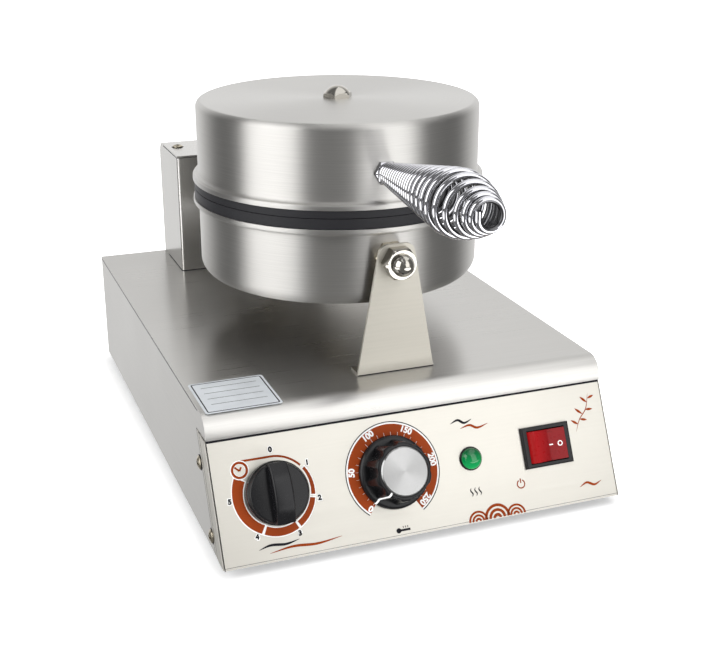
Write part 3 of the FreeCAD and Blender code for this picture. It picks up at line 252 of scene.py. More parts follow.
def glowing(material, colour, axis, ends, strength):
    """Make a material glow: full strength at one place along an axis, none at the other."""
    tree = material.node_tree
    shader = next(item for item in tree.nodes if item.type == "BSDF_PRINCIPLED")
    place = put(tree, "ShaderNodeSeparateXYZ", {0: coordinates(tree)}).outputs[axis]
    setting(shader, Emission_Strength=spread(tree, place, strength, 0.0, *ends), Emission_Color=(*colour, 1))
    return material


# Mesh helpers
def piece(name, mesh, body, slot, *nodes):
    """Show a mesh as a piece of the object on a body, in place of CAD nodes; slot is not used."""
    thing = bpy.data.objects.new(name, mesh)
    bpy.context.scene.collection.objects.link(thing)
    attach(thing, body)
    if nodes:
        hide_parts(*nodes)
    return thing


def finish_mesh(name, work, material, smooth_angle=35.0):
    """Turn a bmesh into a mesh with outward faces and edges that are sharp past an angle."""
    bmesh.ops.remove_doubles(work, verts=work.verts, dist=1e-7)
    bmesh.ops.recalc_face_normals(work, faces=work.faces)
    mesh = bpy.data.meshes.new(name)
    work.to_mesh(mesh)
    work.free()
    mesh.materials.append(material)
    mesh.shade_smooth()
    mesh.set_sharp_from_angle(angle=math.radians(smooth_angle))
    return mesh


def show(name, work, finish, body, slot, *nodes, smooth_angle=35.0):
    """Show a bmesh in a finish as a piece of the object."""
    return piece(name, finish_mesh(name, work, finishes[finish], smooth_angle), body, slot, *nodes)


def rounded(points, corners, steps=6):
    """Points of a path with some corners turned into arcs; corners gives each point's radius."""
    path = []
    for i, point in enumerate(points):
        radius = corners.get(i, 0.0)
        if not radius:
            path.append(Vector(point))
            continue
        here, before, after = Vector(point), Vector(points[i - 1]), Vector(points[(i + 1) % len(points)])
        back, on = (before - here).normalized(), (after - here).normalized()
        half = back.angle(on) / 2
        centre = here + (back + on).normalized() * radius / math.sin(half)
        start, end = here + back * radius / math.tan(half), here + on * radius / math.tan(half)
        first, last = start - centre, end - centre
        sweep = first.angle(last)
        for k in range(steps + 1):
            share = k / steps
            path.append(centre + (first * math.sin((1 - share) * sweep) + last * math.sin(share * sweep))
                        / math.sin(sweep))
    return path


def lathe(work, path, place, sides=SIDES):
    """Spin a path of (radius, height) about Z, with U round and V along the path, then place it."""
    layer = work.loops.layers.uv.verify()
    reach = [0.0]
    for a, b in zip(path, path[1:]):
        reach.append(reach[-1] + (b - a).length)
    rings = []
    for point in path:
        if point.x < 1e-9:
            rings.append([work.verts.new(place @ Vector((0, 0, point.y)))])
            continue
        turns = [2 * math.pi * k / sides + math.pi / 2 for k in range(sides)]
        rings.append([work.verts.new(place @ Vector((point.x * math.cos(t), point.x * math.sin(t), point.y)))
                      for t in turns])
    for i in range(len(rings) - 1):
        low, high = rings[i], rings[i + 1]
        for k in range(sides):
            after = (k + 1) % sides
            corners = [(low, k, i, 0), (low, after, i, 1), (high, after, i + 1, 1), (high, k, i + 1, 0)]
            corners = [c for c in corners if len(c[0]) > 1 or c[3] == 0]
            verts = [ring[0] if len(ring) == 1 else ring[n] for ring, n, _, _ in corners]
            if len(low) == 1 and len(high) == 1:
                continue
            face = work.faces.new(verts)
            for loop, (_, _, row, step) in zip(face.loops, corners):
                loop[layer].uv = ((k + step) / sides, reach[row])


def panel_place(x, up, out=0.0):
    """Matrix from millimetres about a point of the sloped panel, with z outwards, to the object."""
    turn = Matrix((PANEL_RIGHT, PANEL_UP, PANEL_OUT)).transposed().to_4x4()
    spot = PANEL_FOOT + (PANEL_RIGHT * x + PANEL_UP * up + PANEL_OUT * out) * MM
    return Matrix.Translation(spot) @ turn @ IN_MM


# Finishes
# Where the glow fades out, in metres: along X in the rocker, where it is a painted highlight on its left
# face, and along Z in the lens
ROCKER_PAINTED_GLOW = (0.073, 0.0825)
LENS_GLOW = (0.037, 0.046)


def make_finishes():
    """All materials, by name."""
    c = colours()
    steel, panel, black = tuple(c.steel), tuple(c.panel), tuple(c.black)
    return {
        "top": brushed_metal("brushed_top", steel, 0.29, (16, 1100, 1100), along=(1, 0, 0), anisotropy=0.9,
                             depth=0.004, contrast=0.09),
        "side": brushed_metal("brushed_side", steel, 0.38, (1000, 14, 1000), along=(0, 1, 0), anisotropy=0.7,
                              contrast=0.12),
        "column": brushed_metal("brushed_column", steel, 0.25, (1100, 1100, 14), along=(0, 0, 1),
                                anisotropy=0.3, depth=0.004, contrast=0.08),
        "panel": brushed_metal("satin_panel", panel, 0.42, (12, 700, 700), along=(1, 0, 0), anisotropy=0.5,
                               contrast=0.16, cloudy=0.7),
        "spun": brushed_metal("spun_steel", steel, 0.45, (14, 1.6, 1), source="UV", anisotropy=0.95,
                              contrast=0.16),
        "spun_flat": brushed_metal("spun_steel_flat", shade(steel, 0.93), 0.36, (10, 1.6, 1), source="UV",
                                   anisotropy=0.5, contrast=0.12),
        # Dark steel on the pans' downward faces, which the base's top reflects under the lower pan
        "pan_base": brushed_metal("heat_tinted_steel", (0.17, 0.15, 0.13), 0.42, (10, 1.6, 1), source="UV"),
        "bracket": brushed_metal("brushed_bracket", (0.47, 0.45, 0.40), 0.46, (14, 700, 700), along=(1, 0, 0),
                                 anisotropy=0.9, contrast=0.14, cloudy=0.4),
        "galvanised": brushed_metal("galvanised_sheet", (0.50, 0.51, 0.52), 0.46, (60, 60, 60),
                                    contrast=0.12),
        "zinc": brushed_metal("zinc_plate", (0.52, 0.47, 0.37), 0.28, (300, 300, 300)),
        "hinge": brushed_metal("hinge_plate", (0.46, 0.45, 0.44), 0.38, (900, 20, 900)),
        "chrome": brushed_metal("bright_chrome", (0.60, 0.60, 0.63), 0.05, (220, 220, 220), depth=0.002,
                                contrast=0.02),
        "polished": brushed_metal("polished_nut", (0.47, 0.45, 0.41), 0.13, (220, 220, 220), contrast=0.04),
        # Darker chrome for the coil's inward faces: painted shade
        "dull_chrome": brushed_metal("dull_chrome", (0.12, 0.12, 0.125), 0.30, (220, 220, 220)),
        "aluminium": brushed_metal("spun_aluminium", (0.38, 0.38, 0.378), 0.25, (3, 9.0, 1), source="UV",
                                   anisotropy=0.95, contrast=0.05),
        "bronze": brushed_metal("bush_bronze", (0.52, 0.33, 0.14), 0.35, (300, 300, 300)),
        "sheath": brushed_metal("heater_sheath", (0.20, 0.19, 0.18), 0.5, (200, 200, 200)),
        "nonstick": moulded("nonstick_coat", (0.014, 0.014, 0.016), 0.42, 1200.0, Specular_IOR_Level=0.15),
        "rubber": moulded("foot_rubber", (0.012, 0.012, 0.012), 0.72, 700.0),
        "black": moulded("black_moulding", black, 0.24, 1500.0, 0.012, Specular_IOR_Level=0.3),
        "body": moulded("control_body", (0.55, 0.53, 0.48), 0.5),
        # The rocker glows only towards its left end: a painted highlight on its left face
        "red": glowing(moulded("red_rocker", tuple(c.red), 0.28, 500.0, 0.008, Specular_IOR_Level=0.2),
                       (0.75, 0.012, 0.012), 0, ROCKER_PAINTED_GLOW, 0.22),
        "green": glowing(moulded("green_lens", tuple(c.green), 0.08, 400.0, 0.002, Specular_IOR_Level=0.6),
                         (0.0, 0.55, 0.12), 2, LENS_GLOW, 0.48),
        "white_ink": print_ink("white_print", (0.86, 0.86, 0.84)),
        "paper": print_ink("label_paper", (0.68, 0.71, 0.74)),
        "rust_ink": print_ink("rust_print", tuple(c.rust)),
        # Dark print, also used for the painted shade lines among the joints
        "dark_ink": print_ink("dark_print", tuple(c.ink)),
    }


NODE_FINISH = {
    "top": ["top_cover", "rear_panel"],
    "side": ["left_side_panel", "right_side_panel"],
    "column": ["column_body", "column_cover"],
    "panel": ["control_panel"],
    "bracket": ["front_bracket"],
    "galvanised": ["bottom_plate", "panel_angles", "upper_clamp_ring", "lower_clamp_ring"],
    "zinc": ["hinge_bracket_bolts", "hinge_circlips", "conduit_tube", "conduit_nuts", "pan_bolt", "lid_stud",
             "lower_stud", "lid_stud_nut", "lid_saddle_bolts", "timer_shaft", "thermostat_shaft",
             "switch_terminals", "m10_nuts", "panel_nuts"],
    "hinge": ["hinge_bracket_left", "hinge_bracket_right", "hinge_pin", "hinge_arm_left", "hinge_arm_right",
              "lid_saddle"],
    "chrome": ["handle_stud", "handle_nuts"],
    "polished": ["lid_cap_nut", "bracket_cap_nut"],
    "bronze": ["hinge_bushes"],
    "sheath": ["upper_heater", "lower_heater"],
    "nonstick": ["upper_plate", "lower_plate"],
    "rubber": ["rubber_feet", "lid_grommet"],
    "black": ["switch_frame", "cord_gland"],
    "body": ["timer_body", "thermostat_body", "terminal_block"],
}
finishes = {}


class DONUT_OT_finishes(bpy.types.Operator):
    """Make the finishes and give each CAD node its own."""
    bl_idname = "donut_maker.finishes"
    bl_label = "Finishes"

    def execute(self, context):
        finishes.update(make_finishes())
        for finish, nodes in NODE_FINISH.items():
            for node in nodes:
                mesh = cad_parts[node].data
                mesh.materials.clear()
                mesh.materials.append(finishes[finish])
        return {"FINISHED"}


# Stage
SOFTBOX_AIM = Vector((0, 0, 0.13))
SOFTBOXES = (
    SimpleNamespace(name="left_softbox", turn=-74, height=0.70, reach=1.35, wide=1.2, tall=1.4, power=15.0),
    SimpleNamespace(name="right_softbox", turn=23, height=0.70, reach=1.35, wide=1.0, tall=1.4, power=8.0),
    SimpleNamespace(name="top_softbox", turn=50, height=1.5, reach=0.4, wide=1.9, tall=1.3, power=9.5),
)
# White cards on the floor, which throw light up at the pans
CARDS = (
    SimpleNamespace(name="left_card", turn=-74, reach=0.62, wide=0.6, power=2.2),
    SimpleNamespace(name="right_card", turn=21, reach=0.62, wide=0.6, power=3.0),
)
CARD_HEIGHT = 0.002
# Way to the brightest part of the surroundings, their dimmest and brightest light, and how far it spreads
BACK = (0.34, 0.94, 0.0)
WALL_LIGHT = (0.22, 1.12)
WALL_SPREAD = (0.40, 0.82)
BACKDROP = 1.05
FLOOR_RADIUS = 9.0
# Glow of the floor at the object and away from it, and the distances between which it changes; the weak glow
# at the object paints a contact shadow round the base
FLOOR_GLOW = (0.15, 1.1)
PAINTED_SHADOW_REACH = (0.002, 0.03)
CAMERA_AT = (-0.26771, -0.73322, 0.37349)
CAMERA_WAY = Vector((0.3330, 0.8743, -0.3530))
CAMERA_LENS = 62.53
CAMERA_SENSOR = 36.0


def floor_mesh():
    """Round floor that glows away from the object so that it stays white; near the base it glows less, a
    painted contact shadow.
    """
    work = bmesh.new()
    bmesh.ops.create_circle(work, cap_ends=True, radius=FLOOR_RADIUS, segments=96)
    material, tree, shader = new_material("pale_floor")
    place = coordinates(tree)
    base = tuple(colours().floor)
    low, high = [Vector(corner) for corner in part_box("bottom_plate")]
    offset = vector_math(tree, "SUBTRACT", place, (low + high) / 2)[0]
    apart = vector_math(tree, "ABSOLUTE", offset)[0]
    beyond = vector_math(tree, "SUBTRACT", apart, (high - low) / 2)[0]
    outside = vector_math(tree, "MAXIMUM", beyond, (0, 0, 0))[0]
    away = vector_math(tree, "LENGTH", outside)["Value"]
    setting(shader, Base_Color=tint(tree, noise(tree, place, 3.0), shade(base, 0.99), base), Roughness=0.9,
            Specular_IOR_Level=0.1, Emission_Color=(1, 1, 1, 1),
            Emission_Strength=spread(tree, away, *FLOOR_GLOW, *PAINTED_SHADOW_REACH))
    return finish_mesh("floor", work, material)


def studio_world():
    """White where the camera sees it; its light is bright from the back and dim from elsewhere."""
    world = bpy.data.worlds.new("studio")
    world.use_nodes = True
    sky = world.node_tree
    sky.nodes.clear()
    way = sky.nodes.new("ShaderNodeTexCoord").outputs["Generated"]
    wall = spread(sky, vector_math(sky, "DOT_PRODUCT", way, BACK)["Value"], *WALL_LIGHT, *WALL_SPREAD)
    light, white = [put(sky, "ShaderNodeBackground", {"Color": (1, 1, 1, 1), "Strength": strength}).outputs[0]
                    for strength in (wall, BACKDROP)]
    seen = sky.nodes.new("ShaderNodeLightPath").outputs["Is Camera Ray"]
    mixed = put(sky, "ShaderNodeMixShader", {0: seen, 1: light, 2: white})
    put(sky, "ShaderNodeOutputWorld", {0: mixed.outputs[0]})
    return world


class DONUT_OT_stage(bpy.types.Operator):
    """Floor, studio light and camera."""
    bl_idname = "donut_maker.stage"
    bl_label = "Stage"

    def execute(self, context):
        scene = context.scene
        floor = bpy.data.objects.new("floor", floor_mesh())
        scene.collection.objects.link(floor)
        floor.visible_glossy = False
        scene.world = studio_world()
        scene.view_settings.view_transform = "Standard"
        for softbox in SOFTBOXES:
            place = self.place(softbox.turn, softbox.reach, softbox.height)
            light = self.light(softbox.name, "RECTANGLE", softbox.wide, softbox.power, place,
                               SOFTBOX_AIM - place)
            light.size_y = softbox.tall
        for card in CARDS:
            place = self.place(card.turn, card.reach, CARD_HEIGHT)
            self.light(card.name, "DISK", card.wide, card.power, place, Vector((0, 0, 1)))
        camera = bpy.data.objects.new("photo_camera", bpy.data.cameras.new("photo_camera"))
        camera.data.lens, camera.data.sensor_width = CAMERA_LENS, CAMERA_SENSOR
        camera.location = CAMERA_AT
        camera.rotation_euler = CAMERA_WAY.to_track_quat("-Z", "Y").to_euler()
        scene.collection.objects.link(camera)
        scene.camera = camera
        return {"FINISHED"}

    @staticmethod
    def place(turn, reach, height):
        """Point at a turn from the front, to the right, and a reach from the middle."""
        turn = math.radians(turn)
        return Vector((reach * math.sin(turn), -reach * math.cos(turn), height))

    @staticmethod
    def light(name, shape, wide, power, place, way):
        data = bpy.data.lights.new(name, "AREA")
        data.shape, data.size, data.energy = shape, wide, power
        thing = bpy.data.objects.new(name, data)
        thing.location = place
        thing.rotation_euler = way.to_track_quat("-Z", "Y").to_euler()
        thing.visible_camera = False
        bpy.context.scene.collection.objects.link(thing)
        return data


# Spun pans
# Upright part of a face's normal, past which it counts as flat
FLAT_FACE = 0.97
# Radius of each bend of the stepped rim, by its point in the section
RIM_BENDS = {2: 1.8, 3: 1.3, 4: 0.3, 5: 0.3, 6: 0.4, 7: 0.6}


def pan_path(s, rim, end, corner):
    """Section of a pan from its middle over its side and stepped rim and back along the inside."""
    way = 1 if end > rim else -1
    wall, outer, wide = s.shell_wall, s.shell_radius, s.rim_radius
    step = rim + way * s.rim_skirt
    points = [(0, end), (outer, end), (outer, step + way * wall), (wide, step + way * wall), (wide, rim),
              (wide - wall, rim), (wide - wall, step), (outer - wall, step), (outer - wall, end - way * wall),
              (0, end - way * wall)]
    return rounded(points, {**RIM_BENDS, 1: corner, 8: corner - wall}, 8)


class DONUT_OT_pans(bpy.types.Operator):
    """Spun lid and lower pan with rolled corners and flared rims."""
    bl_idname = "donut_maker.pans"
    bl_label = "Spun Pans"

    def execute(self, context):
        s = sizes()
        for name, node, body, rim, end, corner in (
                ("spun_lid", "upper_shell", "lid", s.lid_rim, s.lid_top, s.lid_corner),
                ("spun_pan", "lower_shell", "base", s.pan_rim, s.pan_bottom, s.pan_corner)):
            work = bmesh.new()
            lathe(work, pan_path(s, rim, end, corner), PAN_PLACE)
            mesh = finish_mesh(name, work, finishes["spun"])
            for finish in ("spun_flat", "pan_base"):
                mesh.materials.append(finishes[finish])
            for face in mesh.polygons:
                face.material_index = (face.normal.z > FLAT_FACE) + 2 * (face.normal.z < -FLAT_FACE)
            piece(name, mesh, body, "brushed_steel", node)
        return {"FINISHED"}


# Coiled handle
HANDLE_ROOT = Vector((-3.0, -83.8, 204.6))
HANDLE_TIP = Vector((-3.0, -216.0, 213.0))
COIL_START = 0.5
# Outer radius at the root, the belly and the tip, and the belly's place along the coil
COIL_RADII = (6.9, 18.3, 8.4)
COIL_BELLY_AT = 0.70
# Pitch of close and wide turns, and the turns between which it widens and closes again
COIL_PITCH = (4.0, 8.3)
COIL_WIDENS = (12.5, 16.0)
COIL_CLOSES = (19.8, 22.4)
COIL_STEPS = 48
# Outward part of a face's normal, below which it counts as the coil's inside, which gets painted shade
COIL_INSIDE = -0.1
WIRE_SIDES = 16


def ease(value, start, end):
    """Smooth step from 0 at start to 1 at end."""
    share = min(max((value - start) / (end - start), 0.0), 1.0)
    return share * share * (3 - 2 * share)


def coil_radius(share):
    """Outer radius along the coil: a cone that swells to a belly, then a round nose."""
    root, belly, tip = COIL_RADII
    if share < COIL_BELLY_AT:
        return root + (belly - root) * share / COIL_BELLY_AT
    nose = (share - COIL_BELLY_AT) / (1 - COIL_BELLY_AT)
    return tip + (belly - tip) * math.cos(nose * math.pi / 2)


def coil_points(turns, wire):
    """Centre line of the handle's wire: close turns, wide ones round the belly, close at the tip."""
    tight, wide = COIL_PITCH
    reach = [0.0]
    for i in range(turns * COIL_STEPS):
        turn = (i + 0.5) / COIL_STEPS
        share = ease(turn, *COIL_WIDENS) * (1 - ease(turn, *COIL_CLOSES))
        reach.append(reach[-1] + (tight + (wide - tight) * share) / COIL_STEPS)
    axis = HANDLE_TIP - HANDLE_ROOT
    out = axis.normalized()
    side = out.cross(Vector((0, 0, 1))).normalized()
    up = side.cross(out)
    points = []
    for i, distance in enumerate(reach):
        share = distance / reach[-1]
        radius = coil_radius(share) - wire / 2
        turn = 2 * math.pi * i / COIL_STEPS
        centre = HANDLE_ROOT + out * (COIL_START + wire / 2 + share * (axis.length - wire - COIL_START))
        points.append(centre + side * radius * math.cos(turn) + up * radius * math.sin(turn))
    first, last = (points[0] - points[1]).normalized(), (points[-1] - points[-2]).normalized()
    return [points[0] + first * wire] + points + [points[-1] + last * wire]


def new_tree(name, *inputs):
    """Geometry Nodes tree with a geometry going in and out; returns it, its input node and identifiers."""
    tree = bpy.data.node_groups.new(name, "GeometryNodeTree")
    tree.interface.new_socket("Geometry", in_out="INPUT", socket_type="NodeSocketGeometry")
    keys = [tree.interface.new_socket(label, in_out="INPUT", socket_type=kind).identifier
            for label, kind in inputs]
    tree.interface.new_socket("Geometry", in_out="OUTPUT", socket_type="NodeSocketGeometry")
    return tree, tree.nodes.new("NodeGroupInput").outputs, keys


def end_tree(tree, geometry, material):
    """Close a tree with real geometry in a material."""
    real = put(tree, "GeometryNodeRealizeInstances", {0: geometry})
    painted = put(tree, "GeometryNodeSetMaterial", {"Geometry": real.outputs[0], "Material": material})
    put(tree, "NodeGroupOutput", {0: painted.outputs[0]})


def plain_mesh(thing, name):
    """The evaluated result of an object as a plain mesh; the object is then removed."""
    bpy.context.view_layer.update()
    graph = bpy.context.evaluated_depsgraph_get()
    mesh = bpy.data.meshes.new_from_object(thing.evaluated_get(graph), depsgraph=graph)
    mesh.name = name
    bpy.data.objects.remove(thing)
    return mesh


def grown(name, data, tree, values):
    """Run a Geometry Nodes tree on a mesh or curve and return the result as a plain mesh."""
    thing = bpy.data.objects.new(name, data)
    bpy.context.scene.collection.objects.link(thing)
    growth = thing.modifiers.new("growth", "NODES")
    growth.node_group = tree
    for key, value in values.items():
        growth[key] = value
    return plain_mesh(thing, name)


class DONUT_OT_handle(bpy.types.Operator):
    """Chrome handle wound from one wire, with painted shade on the wire's inward faces."""
    bl_idname = "donut_maker.handle"
    bl_label = "Coiled Handle"

    def execute(self, context):
        s = sizes()
        curve = bpy.data.curves.new("handle_path", "CURVE")
        curve.dimensions = "3D"
        line = curve.splines.new("POLY")
        points = coil_points(s.coil_turns, s.wire)
        line.points.add(len(points) - 1)
        for spot, point in zip(line.points, points):
            spot.co = (*(point * MM), 1)
        tree, given, keys = new_tree("wire_along_path", ("Wire radius", "NodeSocketFloat"),
                                     ("Wire sides", "NodeSocketInt"))
        section = put(tree, "GeometryNodeCurvePrimitiveCircle", {"Radius": given[1], "Resolution": given[2]})
        swept = put(tree, "GeometryNodeCurveToMesh", {
            "Curve": given[0], "Profile Curve": section.outputs[0], "Fill Caps": True})
        smooth = put(tree, "GeometryNodeSetShadeSmooth", {0: swept.outputs[0]})
        end_tree(tree, smooth.outputs[0], finishes["chrome"])
        mesh = grown("handle_wire", curve, tree, {keys[0]: s.wire / 2 * MM, keys[1]: WIRE_SIDES})
        # The wire's inward faces get the darker chrome: painted shade inside the coil
        mesh.materials.append(finishes["dull_chrome"])
        out = (HANDLE_TIP - HANDLE_ROOT).normalized()
        for face in mesh.polygons:
            spot = face.center - HANDLE_ROOT * MM
            outward = (spot - out * spot.dot(out)).normalized()
            face.material_index = int(face.normal.dot(outward) < COIL_INSIDE)
        piece("handle_wire", mesh, "lid", "chrome", "handle_coil")
        return {"FINISHED"}


# Fasteners
# Seat of each screw's head, the way that it faces, and its radius
SCREWS = ([((side * 125.0, y, z), (side, 0, 0), 4.1) for side in (-1, 1)
           for y, z in ((-103.1, 51.7), (-123.9, 15.0))]
          + [((side * 67.0, 176.1, 171.9), (0, 0, 1), 3.8) for side in (-1, 1)]
          + [((side * 15.0, -84.4, 86.7), (0, 0, 1), 3.4) for side in (-1, 1)]
          + [((x, y, 3.2), (0, 0, -1), 3.8) for y in (-101.5, 172.2) for x in (-95.0, 95.0)])


# Section of a screw of unit head radius, from its crown to its shank
SCREW_SECTION = [(0, 0.45), (0.5, 0.44), (0.96, 0.24), (1.0, 0.12), (0.84, 0.0), (0.5, 0.0), (0.5, -0.5),
                 (0, -0.5)]
SCREW_BENDS = {1: 0.5, 2: 0.12, 3: 0.05}
CROSS_LENGTH = 1.24
CROSS_WIDTH = 0.3
CROSS_DEPTH = 0.62
CROSS_MIDDLE = 0.52


def screw_mesh():
    """Screw of unit head radius on +Z: a crowned pan head with a cross recess and a short shank."""
    work = bmesh.new()
    lathe(work, rounded(SCREW_SECTION, SCREW_BENDS, 4), Matrix.Identity(4), SCREW_SIDES)
    cutter = bmesh.new()
    for wide, tall in ((CROSS_LENGTH, CROSS_WIDTH), (CROSS_WIDTH, CROSS_LENGTH)):
        bmesh.ops.create_cube(cutter, size=1.0, matrix=Matrix.Translation((0, 0, CROSS_MIDDLE))
                              @ Matrix.Diagonal((wide, tall, CROSS_DEPTH, 1)))
    head, tool = [bpy.data.objects.new(name, finish_mesh(name, shape, finishes["zinc"]))
                  for name, shape in (("screw_head", work), ("screw_cross", cutter))]
    for thing in (head, tool):
        bpy.context.scene.collection.objects.link(thing)
    recess = head.modifiers.new("cross", "BOOLEAN")
    recess.object, recess.operation, recess.solver, recess.use_self = tool, "DIFFERENCE", "EXACT", True
    mesh = plain_mesh(head, "screw")
    bpy.data.objects.remove(tool)
    mesh.shade_smooth()
    mesh.set_sharp_from_angle(angle=math.radians(35))
    return mesh


class DONUT_OT_screws(bpy.types.Operator):
    """Pan-head screws of the base, column, bracket and feet."""
    bl_idname = "donut_maker.screws"
    bl_label = "Screws"

    def execute(self, context):
        one = bpy.data.objects.new("one_screw", screw_mesh())
        context.scene.collection.objects.link(one)
        spots = bpy.data.meshes.new("screw_spots")
        spots.from_pydata([Vector(place) * MM for place, _, _ in SCREWS], [], [])
        spots.attributes.new("axis", "FLOAT_VECTOR", "POINT")
        spots.attributes.new("head", "FLOAT", "POINT")
        for i, (_, way, size) in enumerate(SCREWS):
            spots.attributes["axis"].data[i].vector = way
            spots.attributes["head"].data[i].value = size
        tree, given, keys = new_tree("screws_on_points", ("Unit", "NodeSocketFloat"))
        part = put(tree, "GeometryNodeObjectInfo", {"Object": one})
        way = put(tree, "GeometryNodeInputNamedAttribute", {"Name": "axis"}, data_type="FLOAT_VECTOR")
        size = put(tree, "GeometryNodeInputNamedAttribute", {"Name": "head"}, data_type="FLOAT")
        turn = put(tree, "FunctionNodeAlignRotationToVector", {"Vector": way.outputs[0]}, axis="Z")
        scale = put(tree, "ShaderNodeMath", {0: size.outputs[0], 1: given[1]}, operation="MULTIPLY")
        points = put(tree, "GeometryNodeMeshToPoints", {"Mesh": given[0]})
        placed = put(tree, "GeometryNodeInstanceOnPoints", {
            "Points": points.outputs[0], "Instance": part.outputs["Geometry"], "Rotation": turn.outputs[0],
            "Scale": scale.outputs[0]})
        end_tree(tree, placed.outputs[0], finishes["zinc"])
        mesh = grown("case_screws", spots, tree, {keys[0]: MM})
        bpy.data.objects.remove(one)
        piece("case_screws", mesh, "base", "zinc_steel", "pan_head_screws")
        return {"FINISHED"}


# Knobs
TIMER_AT = (-89.5, 38.0)
THERMOSTAT_AT = (-18.3, 38.0)
# Step in from the timer knob's radius, and height, from the underside of its rim to its top
TIMER_SECTION = [(1.4, 2.0), (1.4, 1.0), (0, 1.0), (0, 6.0), (0.8, 7.0), (1.4, 9.0)]
TIMER_BENDS = {3: 0.3, 4: 0.4, 5: 0.5, 6: 0.9}
TIMER_UNDERSIDE = 2.0
TIMER_FACE = 9.4
GRIP_INSET = 0.6
GRIP_HALF = 5.4
GRIP_FOOT = 6.0
GRIP_TOP = 19.0
GRIP_CROWN = 34.0
GRIP_EDGE = 1.1
GRIP_STEPS = 28
FLUTES = 10
FLUTE_RADIUS = 5.0
FLUTE_PITCH = 20.8
FLUTE_SIDES = 32
FLUTE_SOFTNESS = 0.22
# Step in from the thermostat knob's skirt radius, and height, from the underside to the fluted body
SKIRT_SECTION = [(1.2, 2.0), (1.2, 1.0), (0, 1.0), (0.5, 2.9), (1.6, 3.7), (2.7, 3.8)]
SKIRT_BENDS = {2: 0.25, 3: 0.6, 4: 0.4}
# Radius, height and share of the flutes' depth, from the skirt to the cap's seat
FLUTED_BODY = [(18.7, 3.8, 1), (18.4, 4.3, 1), (17.8, 10.0, 1), (17.2, 15.0, 1), (17.0, 17.4, 1),
               (16.75, 18.4, 1), (16.3, 18.95, 1), (15.5, 19.2, 0.7), (14.6, 19.2, 0), (14.3, 18.9, 0),
               (14.3, 18.0, 0)]
CAP_SECTION = [(0, 20.02), (13.4, 20.02), (13.9, 19.6), (14.2, 19.3), (14.2, 18.02), (0, 18.02)]
CAP_BENDS = {1: 0.2, 3: 0.2}
POINTER_TURN = 228.0
POINTER_START = (14.5, 19.2)
# Step in from the skirt's radius, and height, of the pointer's line over the skirt
POINTER_END = [(2.7, 3.85), (1.6, 3.75), (0.6, 2.95), (0.05, 1.4)]
# Place across the pointer's line, and height above the knob
POINTER_SECTION = ((-0.6, -0.15), (-0.55, 0.1), (0.55, 0.1), (0.6, -0.15))


def skin(work, rows, place, loop=False):
    """Closed tube through rows of points, each row a closed loop; a loop joins its last row to its first."""
    verts = [[work.verts.new(place @ Vector(point)) for point in row] for row in rows]
    for a, b in zip(verts, verts[1:] + verts[:1] if loop else verts[1:]):
        for k in range(len(a)):
            after = (k + 1) % len(a)
            work.faces.new((a[k], a[after], b[after], b[k]))
    if not loop:
        work.faces.new(verts[0])
        work.faces.new(verts[-1])


def grip_rows(radius):
    """Sections of the timer's grip from end to end: upright sides, soft edges and a crowned top."""
    turns = [math.radians(turn) for turn in range(0, 91, 15)]
    left = [(GRIP_EDGE - GRIP_HALF - GRIP_EDGE * math.cos(t), GRIP_EDGE * math.sin(t) - GRIP_EDGE)
            for t in turns]
    section = left + [(-x, drop) for x, drop in reversed(left)]
    rows = []
    for i in range(GRIP_STEPS + 1):
        share = math.sin((i / GRIP_STEPS - 0.5) * math.pi)
        reach = share * math.sqrt(radius ** 2 - GRIP_HALF ** 2)
        row = [(-GRIP_HALF, reach, GRIP_FOOT)]
        for x, drop in section:
            along = share * math.sqrt(radius ** 2 - x ** 2)
            crown = GRIP_TOP - GRIP_CROWN + math.sqrt(GRIP_CROWN ** 2 - along ** 2)
            row.append((x, along, crown + drop))
        rows.append(row + [(GRIP_HALF, reach, GRIP_FOOT)])
    return rows


class DONUT_OT_timer_knob(bpy.types.Operator):
    """Black timer knob: a disc with a stepped rim and a crowned grip."""
    bl_idname = "donut_maker.timer_knob"
    bl_label = "Timer Knob"

    def execute(self, context):
        radius = sizes().timer_radius
        place = panel_place(*TIMER_AT)
        work = bmesh.new()
        rim = [(radius - inset, height) for inset, height in TIMER_SECTION]
        section = [(0, TIMER_UNDERSIDE)] + rim + [(0, TIMER_FACE)]
        lathe(work, rounded(section, TIMER_BENDS, 4), place, KNOB_SIDES)
        skin(work, grip_rows(radius - GRIP_INSET), place)
        show("timer_knob_moulding", work, "black", "timer_dial", "knob_black", "timer_knob", smooth_angle=40)
        return {"FINISHED"}


def fluted_radius(radius, turn):
    """Radius of the scalloped body at an angle from the middle of a flute, with softened ridges."""
    across = FLUTE_PITCH * math.sin(turn)
    if abs(across) >= FLUTE_RADIUS:
        return radius
    bite = FLUTE_PITCH * math.cos(turn) - math.sqrt(FLUTE_RADIUS ** 2 - across ** 2)
    both = math.exp(-radius / FLUTE_SOFTNESS) + math.exp(-bite / FLUTE_SOFTNESS)
    return -FLUTE_SOFTNESS * math.log(both)


